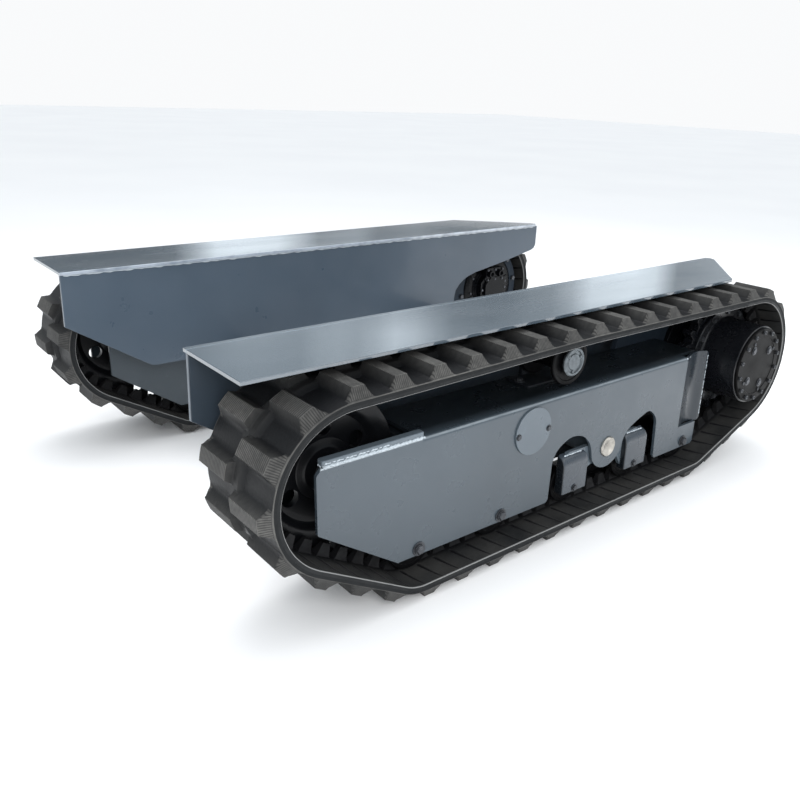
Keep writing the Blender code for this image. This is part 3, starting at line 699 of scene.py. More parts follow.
def tread_height(u, a, pitch):
    """Height over the belt; u runs over two pitches, a is positive on the outer half."""
    centre = 1.5 * pitch if a >= 0.0 else 0.5 * pitch
    along = ramp(apart(u, centre, 2.0 * pitch), BLOCK_SIDE)
    across = min(ramp(abs(a), BLOCK_END), ramp(abs(a), BLOCK_ROOT))
    return BLOCK_H * max(min(along, across), ramp(abs(a), RIDGE))


def guide_height(u, a, pitch):
    """Depth towards the wheels: guide lugs, pockets between them and slanted grooves."""
    lug = min(ramp(apart(u, 0.25 * pitch, pitch), LUG_SIDE), ramp(abs(a), LUG_CROSS))
    width = ramp(abs(a), [(GROOVE_START, 0.0060), (0.1130, 0.0026)])
    groove = ramp(apart(u, 0.75 * pitch, pitch), [(0.0, 1.0), (width * 0.3, 0.9), (width, 0.0)])
    height = GUIDE_H * lug
    if abs(a) > GROOVE_START:
        height -= GROOVE_DEPTH * groove * ramp(abs(a), GROOVE_REACH)
    if abs(a) < POCKET_HALF:
        height -= POCKET_DEPTH * ramp(apart(u, 0.75 * pitch, pitch), [(0.0048, 1.0), (0.0062, 0.0)])
    return height


def mirrored(values):
    return sorted({-v for v in values} | set(values))


def station_lines(period, centres_and_offsets):
    """Sorted places in one period, merged where they nearly meet."""
    places = set()
    for centre, offsets in centres_and_offsets:
        for offset in offsets:
            places.update((round((centre + offset) % period, 6), round((centre - offset) % period, 6)))
    kept = []
    for place in sorted(places):
        if not kept or place - kept[-1] > 0.0009:
            kept.append(place)
    return kept


def belt_layer(side, segments, pitch, periods, period, lines, columns, height, direction, slant):
    """Closed ring of one belt layer, from its middle surface out to its shaped face.

    direction is 1 for the outer layer and -1 for the inner one; slant shifts a row along the belt.
    """
    centre_y = axis_of(side, "drive_spin")[1]
    bm = bmesh.new()
    layer = bm.verts.layers.float_vector.new("belt")
    total = sum(segment[-1] for segment in segments)
    rings = []
    for n in range(periods):
        for u in lines:
            ring = []
            for a in columns:
                lift = height(u, a, pitch)
                rise = BELT_T / 2.0 + lift
                if abs(a) > TRACK_HALF - 0.0001:
                    rise -= RIM_CHAMFER
                x, z, nx, nz = belt_place(segments, (n * period + u + slant(a)) % total)
                vert = bm.verts.new((x + nx * rise * direction, centre_y + a, z + nz * rise * direction))
                vert.co.z = max(vert.co.z, 0.0)
                vert[layer] = (n * period + u, a, lift)
                ring.append((vert, lift))
            for a in (TRACK_HALF, -TRACK_HALF):
                x, z, nx, nz = belt_place(segments, (n * period + u + slant(a)) % total)
                vert = bm.verts.new((x, centre_y + a, z))
                vert[layer] = (n * period + u, a, -1.0)
                ring.append((vert, 0.0))
            rings.append(ring)
    for i, ring in enumerate(rings):
        ahead = rings[(i + 1) % len(rings)]
        for k in range(len(ring)):
            m = (k + 1) % len(ring)
            (a, ha), (b, hb), (c, hc), (d, hd) = ring[k], ring[m], ahead[m], ahead[k]
            if max(ha, hb, hc, hd) - min(ha, hb, hc, hd) < 1e-7:
                bm.faces.new((a, b, c, d))
            elif ha + hc >= hb + hd:
                bm.faces.new((a, b, c))
                bm.faces.new((a, c, d))
            else:
                bm.faces.new((a, b, d))
                bm.faces.new((b, c, d))
    bmesh.ops.recalc_face_normals(bm, faces=bm.faces[:])
    return bm


def rubber_track(side):
    segments = belt_path(side)
    total = sum(segment[-1] for segment in segments)
    pitches = 2 * round(total / PITCH / 2.0)
    pitch = total / pitches
    rim = [TRACK_HALF - RIM_CHAMFER, TRACK_HALF]

    offsets = [v for v, _ in BLOCK_SIDE] + [0.0, 0.0070]
    lines = station_lines(2.0 * pitch, [(0.5 * pitch, offsets), (1.5 * pitch, offsets)])
    columns = mirrored([v for v, _ in BLOCK_END + BLOCK_ROOT + RIDGE] + [0.045, 0.070, 0.090])
    tread = belt_layer(side, segments, pitch, pitches // 2, 2.0 * pitch, lines, columns,
                       tread_height, 1.0, lambda a: 0.0)
    piece(f"{side}_track_tread", tread, side, CHASSIS, "tread", [f"{side}_rubber_track"], crease=26.0)

    def slant(a):
        straight = 0.044
        return 0.016 * max(0.0, (abs(a) - straight) / (TRACK_HALF - straight)) ** 1.4

    lines = station_lines(pitch, [(0.25 * pitch, [v for v, _ in LUG_SIDE]),
                                  (0.75 * pitch, GROOVE)])
    columns = mirrored([v for v, _ in LUG_CROSS] + rim
                       + [0.0, POCKET_HALF - 0.0002, POCKET_HALF + 0.0008, 0.050, 0.056, 0.066,
                          0.078, 0.090, 0.102, 0.113, 0.1215])
    inner = belt_layer(side, segments, pitch, pitches, pitch, lines, columns,
                       guide_height, -1.0, slant)
    piece(f"{side}_track_carcass", inner, side, CHASSIS, "carcass", crease=26.0)


# ---------------------------------------------------------------- plates
def frame_shell(side):
    lo, hi = span(side, "frame_shell")
    pin_x, _, pin_z = axis_of(side, "bogie_swing")
    y1 = hi.y
    y0 = y1 - PLATE_T
    top = hi.z - BAR_T
    bend = 0.0105
    fold_start = top - 0.011
    nose = -0.505
    notch = 0.149
    rear = span(side, "rear_guard")[0].x - 0.0003
    arch_front = [(-0.1010, 0.185), (-0.0930, 0.204), (-0.0750, 0.222), (-0.0380, 0.236), (0.0020, 0.229),
                  (0.0260, 0.211), (0.0410, 0.188), (0.0499, 0.1544)]
    arch_rear = [(0.1641, 0.1544), (0.1720, 0.180), (0.1870, 0.200), (0.2060, 0.211), (0.2400, 0.225),
                 (0.2720, 0.233), (0.2970, 0.217), (0.3110, 0.196), (0.3135, 0.170)]
    lobe = arc(pin_x, pin_z + 0.0065, 0.063, 205.0, 335.0, 28)
    outline = rounded([(lo.x + 0.013, top), (lo.x, top - 0.014), (lo.x + 0.002, 0.216),
                       (lo.x + 0.1975, lo.z)], 0.003, 2)
    outline += [(-0.112, lo.z), (-0.105, lo.z + 0.007), *through(arch_front), *lobe[1:-1],
                *through(arch_rear), (0.3190, lo.z + 0.007), (0.3260, lo.z)]
    outline += [(hi.x - 0.007, lo.z), (hi.x, lo.z + 0.007), (hi.x, notch), (rear, notch),
                (rear, fold_start), (nose, fold_start), (nose, top)]
    section = [(lo.y, top - PLATE_T), (y1 - bend, top - PLATE_T)]
    section += arc(y1 - bend, top - bend, bend - PLATE_T, 90.0, 0.0, 4)[1:]
    section += [(y0, fold_start), (y1, fold_start)]
    section += arc(y1 - bend, top - bend, bend, 0.0, 90.0, 8)
    section += [(lo.y, top)]
    fold = prism(section, nose, rear, axis="x")
    shelf = prism(rect(rear - 0.002, hi.x - 0.006, top - PLATE_T, top), lo.y, 0.585)
    shell = fused(prism(outline, y0, y1), [fold, shelf])
    piece(f"{side}_frame_side", shell, side, CHASSIS, "shell", [f"{side}_frame_shell"], 0.0011)

    bar = prism(rounded(rect(lo.x + 0.013, nose + 0.005, 0.598, y1 - 0.0005), 0.005), top + 0.0002, hi.z,
                axis="z")
    piece(f"{side}_front_bar", bar, side, CHASSIS, "plate", bevel=0.0022)
    routes = [
        ((lo.x + 0.014, y1 - 0.0010, 0.0004), (nose + 0.008, y1 - 0.0010, 0.0004), 0.0043),
        ((lo.x + 0.018, y1 - 0.0018, 0.0060), (nose - 0.080, y1 - 0.0018, 0.0060), 0.0022),
        ((lo.x + 0.018, 0.5965, 0.0010), (nose + 0.004, 0.5965, 0.0010), 0.0028),
        ((nose + 0.005, 0.599, 0.0010), (nose + 0.005, y1 - 0.005, 0.0010), 0.0030),
        ((lo.x + 0.014, 0.600, 0.0010), (lo.x + 0.014, y1 - 0.005, 0.0010), 0.0028),
        ((rear - 0.006, y1 - 0.0020, -0.0035), (rear + 0.020, y1 - 0.0065, -0.0020), 0.0026),
    ]
    above = Vector((0.0, 0.0, top))
    beads = [weld([above + Vector(a), above + Vector(b)], radius) for a, b, radius in routes]
    piece(f"{side}_frame_welds", joined(beads), side, CHASSIS, "weld", crease=80.0)


def rear_guard(side):
    lo, hi = span(side, "rear_guard")
    half = 0.0029
    route = [(lo.x + 0.001, hi.y - 0.0030), (0.4675, 0.6005), (0.4935, 0.6005), (hi.x - 0.009, 0.6120),
             (hi.x - 0.001, 0.6122)]
    bends = rounded(route, 0.012, 5)[6:-6]
    smooth = [Vector(p) for p in (route[0], *bends, route[-1])]
    faces = {1.0: [], -1.0: []}
    for i, p in enumerate(smooth):
        ahead = (smooth[min(i + 1, len(smooth) - 1)] - smooth[max(i - 1, 0)]).normalized()
        for sign, points in faces.items():
            points.append(tuple(p + Vector((-ahead.y, ahead.x)) * half * sign))
    guard = prism(faces[1.0] + faces[-1.0][::-1], lo.z, hi.z, axis="z")
    reach = 0.014
    spare = 0.01
    corners = []
    for edge, turn in ((hi.z, -1.0), (lo.z, 1.0)):
        cut = arc(hi.x - reach, edge + turn * reach, reach, -90.0 * turn, 0.0, 8)
        cut += [(hi.x + spare, edge + turn * reach), (hi.x + spare, edge - turn * spare),
                (hi.x - reach, edge - turn * spare)]
        corners.append(prism(cut, lo.y - spare, hi.y + spare))
    guard = fused(guard, corners, "DIFFERENCE")
    piece(f"{side}_rear_guard_plate", guard, side, CHASSIS, "guard", [f"{side}_rear_guard"], 0.0016)
    # A bead along the guard's rear edge in the light weld look: a painted highlight line.
    bead = weld([(hi.x - 0.0030, 0.6140, hi.z - 0.012), (hi.x - 0.0030, 0.6140, lo.z + 0.012)], 0.0020)
    piece(f"{side}_rear_guard_edge", bead, side, CHASSIS, "weld", crease=80.0)


def inspection_cover(side):
    lo, hi = span(side, "inspection_cover")
    x = (lo.x + hi.x) / 2.0
    z = (lo.z + hi.z) / 2.0
    disc = rod((hi.x - lo.x) / 2.0, lo.y, lo.y + 0.0040, (x, z), 96)
    piece(f"{side}_cover_disc", disc, side, CHASSIS, "plate", [f"{side}_inspection_cover"], 0.0006)
    bolts = [hex_bolt(x + dx, z - 0.003, lo.y + 0.0035, 0.0062, 0.0045, 0.0078) for dx in (-0.049, 0.049)]
    piece(f"{side}_cover_bolts", joined(bolts), side, CHASSIS, "bolt")


# ---------------------------------------------------------------- rollers and idler
def roller(side, node, joint, body, barrel):
    x, y, z = axis_of(side, joint)
    lo, hi = span(side, node)
    r = (hi.x - lo.x) / 2.0
    half = (hi.y - lo.y) / 2.0
    rail = half - 0.010
    edge = [(AXLE_BORE, half - 0.004), (0.030, half - 0.004), (0.034, half - 0.002),
            (r - 0.012, half - 0.002), (r - 0.010, half), (r - 0.002, half), (r, half - 0.002),
            (r, rail + 0.002), (r - 0.002, rail), (barrel + 0.004, rail - 0.003), (barrel, rail - 0.007)]
    wheel = lathe(two_sided(edge, y), (x, z), 56)
    piece(f"{side}_{node}_wheel", wheel, side, body, "roller", [f"{side}_{node}"])


def idler_wheel(side):
    x, y, z = axis_of(side, "idler_spin")
    lo, hi = span(side, "idler_wheel")
    r = (hi.z - lo.z) / 2.0
    web_half = 0.0075
    hub = [(0.0205, 0.040), (0.037, 0.040), (0.040, 0.037), (0.0415, 0.024), (0.0450, 0.0140),
           (0.0510, 0.0105), (0.0600, 0.0092), (0.0630, 0.0080)]
    rim = [(0.1115, 0.0080), (0.1160, 0.0100), (0.1210, 0.0165), (0.1250, 0.0185), (0.1290, 0.0190),
           (r - 0.0030, 0.0190), (r - 0.0008, 0.0178), (r, 0.0160)]
    rings = [lathe(two_sided(half, y), (x, z), 96) for half in (hub, rim)]
    holes = [circle(*p, 0.0180, 28) for p in circle(x, z, 0.086, 6, 0.5)]
    holes.append(circle(x, z, 0.055, 96))
    web = prism(circle(x, z, 0.118, 96), y - web_half, y + web_half, holes=holes)
    piece(f"{side}_idler_disc", joined([*rings, web]), side, f"{side}_idler", "idler",
          [f"{side}_idler_wheel"], 0.0008)


def yoke_and_tensioner(side):
    x, y, z = axis_of(side, "idler_spin")
    arm = rounded(rect(x - 0.026, -0.4895, z - 0.028, z + 0.028), 0.012)
    arms = [prism(arm, start, start + 0.010) for start in (0.464, 0.596)]
    bar = prism(rect(-0.520, -0.4896, z - 0.0275, z + 0.0275), 0.4741, 0.5959)
    shaft = rod(0.020, 0.4645, 0.6055, (x, z), 40)
    collars = [sleeve(0.0201, 0.034, a, b, (x, z), 40) for a, b in ((0.4745, 0.4925), (0.5775, 0.5955))]
    push = rod(0.018, -0.490, -0.300, (y, z), 40, "x")
    nut = rod(0.030, -0.489, -0.476, (y, z), 6, "x")
    piece(f"{side}_idler_fork", joined([*arms, bar, shaft, *collars, push, nut]), side,
          f"{side}_tensioner", "dark", [f"{side}_idler_yoke"], 0.0010)

    tube = lathe([(0.0187, -0.440), (0.0300, -0.440), (0.0330, -0.437), (0.0330, -0.423), (0.0310, -0.420),
                  (0.0310, -0.172), (0.0330, -0.168), (0.0330, -0.150), (0.0100, -0.150), (0.0100, -0.152),
                  (0.0187, -0.240)], (y, z), 48, "x")
    lo, hi = span(side, "tension_cylinder")
    head = prism(rounded(rect(-0.170, -0.146, 0.270, 0.344), 0.003), lo.y, hi.y)
    nipple = lathe([(0.0, 0.560), (0.009, 0.560), (0.009, 0.580), (0.005, 0.582), (0.005, 0.588),
                    (0.0065, 0.590), (0.003, 0.592), (0.0, 0.592)], (-0.196, 0.300), 24)
    piece(f"{side}_grease_cylinder", joined([tube, head, nipple]), side, CHASSIS, "dark",
          [f"{side}_tension_cylinder"], 0.0006)


def roller_axle(side, node):
    lo, hi = span(side, node)
    x = (lo.x + hi.x) / 2.0
    z = (lo.z + hi.z) / 2.0
    shaft = rod(AXLE_R, lo.y + 0.004, hi.y - 0.004, (x, z), 32)
    head = hex_bolt(x, z, hi.y - 0.0098, 0.0110, 0.0098, 0.0160)
    nut = lathe([(0.0, lo.y), (0.010, lo.y), (0.0125, lo.y + 0.002), (0.0125, lo.y + 0.008),
                 (0.0, lo.y + 0.008)], (x, z), 6)
    bolt = joined([shaft, head, nut])
    piece(f"{side}_{node}_bolt", bolt, side, CHASSIS, "bolt", [f"{side}_{node}"], 0.0004)


def carrier(side):
    x, _, z = axis_of(side, "carrier_spin")
    lo, hi = span(side, "carrier_bracket")
    half = 0.034
    outline = [(x - half, lo.z), (x + half, lo.z), (x + half, z), *arc(x, z, half, 0.0, 180.0, 20)[1:]]
    upright = prism(outline, 0.4615, 0.4735)
    foot = prism(rounded(rect(x - 0.080, x + 0.080, 0.4610, 0.540), 0.008), lo.z, lo.z + 0.006, axis="z")
    shaft = rod(AXLE_R, 0.470, hi.y, (x, z), 32)
    bolts = []
    for place in ((x - 0.070, 0.500), (x + 0.070, 0.500)):
        bolts.append(lathe([(0.0, lo.z + 0.005), (0.008, lo.z + 0.005), (0.008, lo.z + 0.011),
                            (0.0065, lo.z + 0.0128), (0.0, lo.z + 0.0128)], place, 6, "z"))
        bolts.append(rod(0.0125, lo.z + 0.0055, lo.z + 0.0078, place, 24, "z"))
    piece(f"{side}_carrier_stand", joined([upright, foot, shaft]), side, CHASSIS, "dark",
          [f"{side}_carrier_bracket"], 0.0010)
    piece(f"{side}_carrier_stand_bolts", joined(bolts), side, CHASSIS, "bolt")

    lo, hi = span(side, "carrier_cap")
    r = (hi.x - lo.x) / 2.0 - 0.003
    depth = hi.y - lo.y
    cap = lathe([(0.0, lo.y), (r - 0.006, lo.y), (r - 0.006, lo.y + depth * 0.62), (r, lo.y + depth * 0.66),
                 (r, lo.y + depth * 0.82), (r - 0.0025, hi.y), (r - 0.0070, hi.y),
                 (r - 0.0090, hi.y - 0.0035), (r - 0.0150, hi.y - 0.0038), (r - 0.0165, hi.y - 0.0018),
                 (0.0, hi.y - 0.0012)], (x, z), 72)
    ears = [rod(0.0030, hi.y - 0.004, hi.y - 0.0004, p, 12) for p in circle(x, z, r - 0.0115, 3, 0.2)]
    piece(f"{side}_carrier_end_cap", joined([cap, *ears]), side, f"{side}_carrier", "zinc",
          [f"{side}_carrier_cap"])


# ---------------------------------------------------------------- bogie
def bogie_box(near, far, low, section, corner=0.0085):
    """Pressed roller box from (depth, top, inset) stations, outer face first."""
    bm = bmesh.new()
    rings = []
    for depth, top, inset in section:
        left = near + inset
        right = far - inset
        edge = [(left, low), (right, low)]
        edge += arc(right - corner, top - corner, corner, 0.0, 90.0, 6)
        edge += arc(left + corner, top - corner, corner, 90.0, 180.0, 6)
        rings.append([bm.verts.new((px, depth, pz)) for px, pz in edge])
    for a, b in zip(rings, rings[1:]):
        for k in range(len(a)):
            m = (k + 1) % len(a)
            bm.faces.new((a[k], a[m], b[m], b[k]))
    bm.faces.new(rings[0])
    bm.faces.new(rings[-1][::-1])
    bmesh.ops.recalc_face_normals(bm, faces=bm.faces[:])
    return bm


def bogie(side):
    x, _, z = axis_of(side, "bogie_swing")
    lo, _ = span(side, "bogie_rocker")
    body = f"{side}_bogie"
    bore_r = 0.0272
    half = [(0.165, 0.092), (0.165, 0.166), (0.140, 0.190)]
    outline = [(x - d, pz) for d, pz in half] + [(x + d, pz) for d, pz in reversed(half)]
    outline += [(x + 0.081, 0.092), (x + 0.056, 0.134), (x - 0.056, 0.134), (x - 0.081, 0.092)]
    cheeks = [prism(rounded(outline, 0.012), start, start + 0.010, holes=[circle(x, z, bore_r, 48)])
              for start in (0.4635, 0.5965)]
    tube = sleeve(bore_r, 0.038, 0.4736, 0.5964, (x, z), 48)
    section = [(0.6223, 0.1615, 0.0050), (0.6220, 0.1640, 0.0028), (0.6210, 0.1675, 0.0012),
               (0.6195, 0.1710, 0.0004), (0.6170, 0.1760, 0.0), (0.6145, 0.1790, 0.0),
               (0.6100, 0.1818, 0.0), (0.5980, 0.1872, 0.0)]
    heads = []
    shafts = []
    boxes = []
    beads = []
    for joint, near, far in (("bogie_front_roller_spin", x - 0.1667, x - 0.0763),
                             ("bogie_rear_roller_spin", x + 0.0773, x + 0.1662)):
        rx, _, rz = axis_of(side, joint)
        boxes.append(bogie_box(near, far, lo.z + 0.0005, section))
        beads.append(weld([(near + 0.012, 0.6078, 0.1845), (far - 0.012, 0.6078, 0.1845)], 0.0024))
        heads.append(hex_bolt(rx - 0.003, rz - 0.003, 0.6219, 0.0072, 0.0060, 0.0100))
        shafts.append(rod(AXLE_R, 0.470, 0.598, (rx, rz), 32))
    piece(f"{side}_bogie_cradle", joined([*cheeks, tube, *shafts]), side, body, "plate",
          [f"{side}_bogie_rocker"], 0.0012)
    piece(f"{side}_bogie_boxes", joined(boxes), side, body, "boxes")
    piece(f"{side}_bogie_bolts", joined(heads), side, body, "bolt")
    piece(f"{side}_bogie_welds", joined(beads), side, body, "weld", crease=80.0)

    lo, hi = span(side, "bogie_pin")
    pin = lathe([(0.0, lo.y), (0.0265, lo.y), (0.0265, hi.y - 0.0022), (0.0245, hi.y), (0.0190, hi.y),
                 (0.0180, hi.y - 0.0005), (0.0, hi.y - 0.0003)], (x, z), 64)
    piece(f"{side}_bogie_pin_bar", pin, side, CHASSIS, "bright", [f"{side}_bogie_pin"])


# ---------------------------------------------------------------- drive
def drive(side):
    x, _, z = axis_of(side, "drive_spin")
    body = f"{side}_drive"
    lo, hi = span(side, "sprocket")
    tip = (hi.z - lo.z) / 2.0
    root = tip - 0.0245
    teeth = 24
    rise = [(root + 0.001, -5.4), (root + 0.008, -4.0), (tip - 0.004, -2.6), (tip, -1.4)]
    tooth = rise + [(radius, -angle) for radius, angle in reversed(rise)]
    outline = []
    for i in range(teeth):
        for radius, offset in tooth:
            turn = math.radians(360.0 * i / teeth + offset)
            outline.append((x + radius * math.cos(turn), z + radius * math.sin(turn)))
    ring = prism(outline, lo.y, hi.y, holes=[circle(x, z, 0.100, 72)])
    piece(f"{side}_toothed_ring", ring, side, body, "black", [f"{side}_sprocket"], 0.0016)

    lo, hi = span(side, "drive_hub")
    drum_r = 0.1128
    drum = lathe([(0.0, lo.y), (0.143, lo.y), (0.143, lo.y + 0.010), (0.141, lo.y + 0.012),
                  (0.117, lo.y + 0.013), (0.1140, lo.y + 0.016), (drum_r, lo.y + 0.020),
                  (drum_r, hi.y - 0.002), (drum_r - 0.0015, hi.y), (0.0, hi.y)], (x, z), 96)
    piece(f"{side}_drive_drum", drum, side, body, "black", [f"{side}_drive_hub"])
    bolts = [hex_bolt(px, pz, lo.y + 0.0105, 0.0080, 0.0085, 0.0105) for px, pz in circle(x, z, 0.131, 12)]
    piece(f"{side}_drum_bolts", joined(bolts), side, body, "bolt")

    lo, hi = span(side, "end_cover")
    face = lo.y + 0.0080
    sunk = face - 0.0014
    cover = lathe([(0.0, lo.y), (0.109, lo.y), (0.109, face - 0.0035), (0.1068, face), (0.0850, face),
                   (0.0835, face - 0.0012), (0.0, face - 0.0012)], (x, z), 96)
    piece(f"{side}_drum_cover", cover, side, body, "cover", [f"{side}_end_cover"])
    bolts = [socket_bolt(*p, face - 0.0004, 0.0058, hi.y - face) for p in circle(x, z, 0.0975, 14, 0.5)]
    for angle in (37.0, 127.0, 220.0, 292.0):
        bolts.append(hex_bolt(*circle(x, z, 0.061, 1, angle / 360.0)[0], sunk, 0.0092, 0.0046, 0.0120))
    for angle in (30.0, 120.0, 212.0, 286.0):
        bolts.append(socket_bolt(*circle(x, z, 0.079, 1, angle / 360.0)[0], sunk, 0.0045, 0.0034))
    piece(f"{side}_cover_screws", joined(bolts), side, body, "bolt")


def motor(side):
    """Hydraulic motor on the inner side: case, octagonal cap and lid, port block and mount."""
    x, _, z = axis_of(side, "drive_spin")
    mount_lo, mount_hi = span(side, "drive_mount")
    plate_y = mount_hi.y - 0.0165
    back = mount_hi.y + 0.0003
    lid_y = 0.4042
    block_y = 0.3982
    rib_y = 0.4340
    case = lathe([(0.0, 0.424), (0.070, 0.424), (0.072, 0.426), (0.0725, 0.430), (0.076, 0.4325),
                  (0.105, 0.4330), (0.108, 0.4345), (0.1150, 0.4345), (0.1195, 0.4370), (0.1195, back),
                  (0.140, back), (0.142, back + 0.002), (0.142, back + 0.013), (0.140, back + 0.015),
                  (0.112, back + 0.020), (0.112, 0.492), (0.088, 0.496), (0.088, 0.547), (0.0, 0.547)],
                 (x, z), 96)
    cap = prism(circle(x, z, 0.069, 8, 0.5), 0.404, 0.4245)
    lid = prism(circle(x, z, 0.052, 8, 0.5), 0.3945, lid_y)
    block = prism(rounded(rect(x - 0.044, x + 0.044, z + 0.030, z + 0.082), 0.006), 0.398, 0.428)
    ports = [lathe([(0.0, 0.3930), (0.0075, 0.3930), (0.0075, 0.3860), (0.0130, 0.3860), (0.0130, 0.3985),
                    (0.0, 0.3985)], (px, z + 0.060), 28) for px in (x - 0.024, x + 0.024)]
    ribs = []
    for degrees in (-60.0, -20.0, 20.0, 150.0, 200.0, 240.0):
        turn = math.radians(degrees)
        along = Vector((math.cos(turn), math.sin(turn)))
        corners = [Vector((x, z)) + along * u + along.orthogonal() * v
                   for u, v in ((0.074, -0.004), (0.074, 0.004), (0.104, 0.004), (0.104, -0.004))]
        ribs.append(prism([tuple(corner) for corner in corners], 0.4300, rib_y))
    piece(f"{side}_motor_case", joined([case, cap, lid, block, *ports, *ribs]), side, CHASSIS, "motor",
          [f"{side}_hydraulic_motor"], 0.0014)
    screws = [hex_bolt(*p, lid_y, 0.0050, -0.0055) for p in circle(x, z, 0.059, 8)]
    screws += [hex_bolt(px, pz, block_y, 0.0045, -0.0050)
               for px in (x - 0.037, x, x + 0.037) for pz in (z + 0.038, z + 0.075)]
    screws += [hex_bolt(*p, rib_y - 0.0008, 0.0050, -0.0050) for p in circle(x, z, 0.091, 10, 0.25)]
    piece(f"{side}_motor_screws", joined(screws), side, CHASSIS, "bolt")

    outline = [(0.385, 0.196), (0.540, 0.196), *arc(x, z, 0.150, -135.0, 135.0, 56),
               (0.560, 0.402), (0.330, 0.402), (mount_lo.x, 0.340), (0.385, 0.340)]
    plate = prism(outline, plate_y, mount_hi.y, holes=[circle(x, z, 0.1210, 96)])
    piece(f"{side}_motor_plate", plate, side, CHASSIS, "mount", [f"{side}_drive_mount"], 0.0014)
    bolts = [hex_bolt(*p, plate_y, 0.0088, -0.0086) for p in circle(x, z, 0.1355, 10, 0.25)]
    piece(f"{side}_motor_plate_bolts", joined(bolts), side, CHASSIS, "bolt")


# ---------------------------------------------------------------- plates kept from the frame
def kept_plates(side):
    dress(f"{side}_deck_plate", "deck", 0.0012)
    dress(f"{side}_web_plate", "web", 0.0012)
    dress(f"{side}_inner_side_plate", "inner", 0.0010)
    lo, hi = span(side, "web_plate")
    beads = [weld([(lo.x + 0.01, y, hi.z - 0.0015), (hi.x - 0.02, y, hi.z - 0.0015)], radius, step)
             for y, radius, step in ((hi.y + 0.0012, 0.0034, 0.006), (lo.y - 0.0010, 0.0036, 0.009))]
    piece(f"{side}_deck_welds", joined(beads), side, CHASSIS, "weld", crease=80.0)


def cross_tube(node):
    lo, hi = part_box(node)
    mid = (lo + hi) / 2.0
    half = (hi.x - lo.x) / 2.0
    outer, inner = (rounded(rect(mid.x - r, mid.x + r, mid.z - r, mid.z + r), corner)
                    for r, corner in ((half, 0.010), (half * 0.85, 0.006)))
    tube = prism(outer, lo.y, hi.y, holes=[inner])
    piece(f"{node}_section", tube, "", CHASSIS, "plate", [node])
    places = [lo.y + 0.0020, hi.y - 0.0020]
    for side, sign in SIDES.items():
        web_lo, web_hi = span(side, "web_plate")
        places += [(web_lo.y - 0.0015) * sign, (web_hi.y + 0.0015) * sign]
    beads = [weld([(px, y, pz) for px, pz in (*outer, outer[0])], 0.0030) for y in places]
    piece(f"{node}_welds", joined(beads), "", CHASSIS, "weld", crease=80.0)


# ---------------------------------------------------------------- stage
def stage():
    floor = bpy.data.meshes.new("floor")
    reach = 30.0
    ground = cad_box[0].z - 0.0002
    floor.from_pydata([(-reach, -reach, ground), (reach, -reach, ground), (reach, reach, ground),
                       (-reach, reach, ground)], [], [(0, 1, 2, 3)])
    obj = bpy.data.objects.new("floor", floor)
    bpy.context.scene.collection.objects.link(obj)
    s = Shader("floor", 0.75)
    shade = s.remap(s.noise(0.6, 2.0), 0.3, 0.7)
    floor.materials.append(s.finish(s.mix(shade, (0.90, 0.90, 0.905), (0.93, 0.93, 0.93))))

    studio()
    area_light("key", (-1.9, -3.1, 1.9), (-0.2, -0.5, 0.25), (2.0, 1.6), 75.0)
    area_light("top", (0.4, 0.6, 3.4), (0.0, 0.0, 0.3), (3.2, 1.6), 70.0)
    area_light("rim", (3.4, -1.6, 1.7), (0.4, -0.4, 0.3), (1.2, 1.2), 30.0)
    fill = bpy.data.lights.new("fill", "SUN")
    fill.energy = 1.0
    fill.angle = math.radians(110.0)
    obj = bpy.data.objects.new("fill", fill)
    bpy.context.scene.collection.objects.link(obj)
    obj.rotation_euler = (math.radians(6.0), math.radians(-8.0), 0.0)


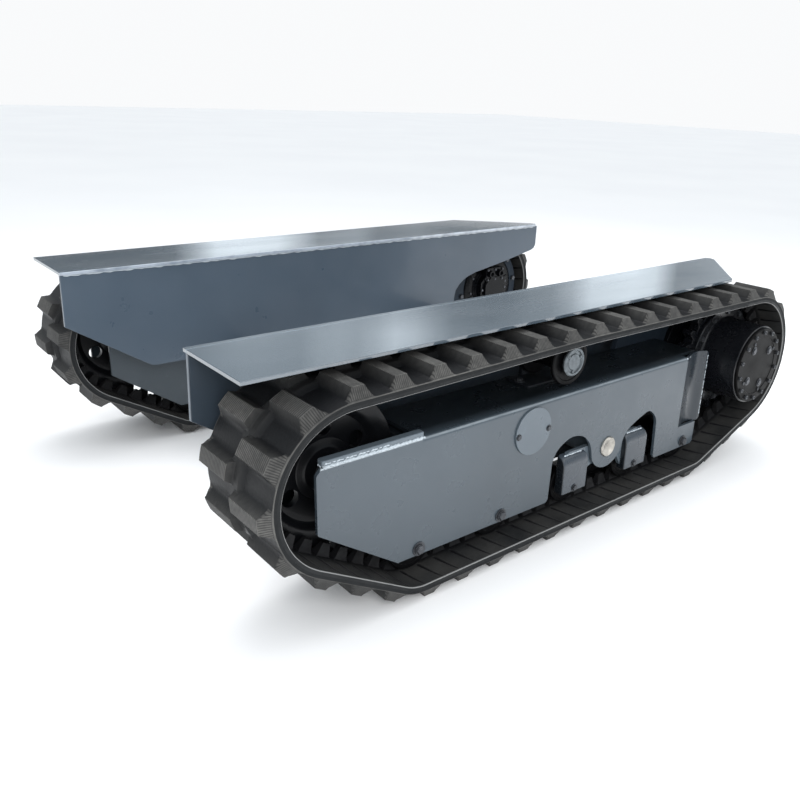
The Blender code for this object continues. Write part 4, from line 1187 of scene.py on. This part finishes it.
def studio():
    """Soft surround: pale at the horizon, pale and dim panels above it, then a pale ceiling.

    The panels only light the object and show in its gloss; the backdrop itself is plain.
    """
    world = bpy.data.worlds.new("studio")
    s = Nodes(world, "Generated")

    def ramp_of(source, stops):
        made = s.node("ShaderNodeValToRGB")
        s.link(source, made.inputs["Fac"])
        elements = made.color_ramp.elements
        while len(elements) > 1:
            elements.remove(elements[-1])
        elements[0].position = stops[0][0]
        elements[0].color = (*stops[0][1], 1.0)
        for position, shade in stops[1:]:
            elements.new(position).color = (*shade, 1.0)
        return made.outputs["Color"]

    x, y, z = s.axes()
    share = s.remap(s.maths("ARCTAN2", x, y), -math.pi, math.pi)
    black = (0.0, 0.0, 0.0)
    white = (1.0, 1.0, 1.0)
    backdrop = (0.95, 0.96, 0.97)
    heights = ramp_of(z, [(0.0, (0.96, 0.965, 0.97)), (0.13, backdrop), (0.50, (0.40, 0.44, 0.47)),
                          (0.72, (0.80, 0.84, 0.88))])
    low = [(-180, 0.45), (-120, 0.70), (-60, 0.45), (0, 0.55), (10, 0.40), (13, 0.20), (20, 0.16),
           (23, 0.24), (25.5, 1.0), (30, 0.9), (32, 0.36), (35, 0.46), (36.5, 0.26), (40, 0.34),
           (41, 0.22), (46, 0.26), (48, 0.40), (50, 0.42), (52, 0.95), (56, 1.0), (57.5, 0.36),
           (63, 0.60), (90, 0.45), (150, 0.60)]
    high = [(-180, 0.45), (-60, 0.45), (10, 0.40), (22, 0.36), (27, 0.50), (31, 0.46), (33, 0.66),
            (36, 0.56), (37.5, 0.95), (40, 0.80), (41.5, 0.45), (45, 0.36), (50, 0.42), (90, 0.45),
            (150, 0.60)]

    def panels_of(table):
        """Panels round the object, from (bearing in degrees, brightness) stops."""
        return ramp_of(share, [((angle + 180.0) / 360.0, (v ** 1.6 * 0.84, v ** 1.6 * 0.93, v ** 1.6))
                               for angle, v in table])

    lift = ramp_of(z, [(0.235, black), (0.285, white)])
    brighter = s.node("ShaderNodeVectorMath", operation="SCALE")
    brighter.inputs["Scale"].default_value = 1.5
    s.link(s.mix(lift, panels_of(low), panels_of(high)), brighter.inputs[0])
    band = ramp_of(z, [(0.138, black), (0.155, white), (0.42, white), (0.55, black)])
    lit = s.mix(band, heights, brighter.outputs[0])
    seen = s.node("ShaderNodeLightPath").outputs["Is Camera Ray"]
    s.link(s.mix(seen, lit, backdrop), s.tree.nodes["Background"].inputs["Color"])
    bpy.context.scene.world = world


def area_light(name, place, target, size, power):
    light = bpy.data.lights.new(name, "AREA")
    light.shape = "RECTANGLE"
    light.size, light.size_y = size
    light.energy = power
    obj = bpy.data.objects.new(name, light)
    bpy.context.scene.collection.objects.link(obj)
    obj.location = place
    obj.visible_glossy = False
    obj.rotation_euler = (Vector(target) - Vector(place)).to_track_quat("-Z", "Y").to_euler()


def camera():
    data = bpy.data.cameras.new("view")
    data.sensor_width = 36.0
    data.lens = 36.05
    data.shift_x = -0.0375
    data.shift_y = -0.01875
    data.clip_end = 100.0
    obj = bpy.data.objects.new("view", data)
    bpy.context.scene.collection.objects.link(obj)
    azimuth, elevation, roll = (math.radians(v) for v in (-40.692, 20.122, 2.369))
    back = Vector((math.sin(azimuth) * math.cos(elevation), -math.cos(azimuth) * math.cos(elevation),
                   math.sin(elevation)))
    level = (-back).cross(Vector((0.0, 0.0, 1.0))).normalized()
    rise = level.cross(-back)
    right = level * math.cos(roll) + rise * math.sin(roll)
    up = rise * math.cos(roll) - level * math.sin(roll)
    turn = Matrix((right, up, back)).transposed().to_4x4()
    obj.matrix_world = Matrix.Translation((-1.44726, -1.72798, 0.99954)) @ turn
    bpy.context.scene.camera = obj


for side_name in SIDES:
    rubber_track(side_name)
    frame_shell(side_name)
    rear_guard(side_name)
    inspection_cover(side_name)
    kept_plates(side_name)
    for wheel in ("front_roller", "second_roller", "rear_roller"):
        roller(side_name, wheel, f"{wheel}_spin", f"{side_name}_{wheel}", 0.032)
        roller_axle(side_name, f"{wheel}_axle")
    for wheel in ("bogie_front_roller", "bogie_rear_roller"):
        roller(side_name, wheel, f"{wheel}_spin", f"{side_name}_{wheel}", 0.026)
    roller(side_name, "carrier_roller", "carrier_spin", f"{side_name}_carrier", 0.030)
    idler_wheel(side_name)
    yoke_and_tensioner(side_name)
    carrier(side_name)
    bogie(side_name)
    drive(side_name)
    motor(side_name)
for tube_name in ("front_cross_tube", "rear_cross_tube"):
    cross_tube(tube_name)
stage()
camera()
bpy.context.scene.view_settings.view_transform = "Standard"
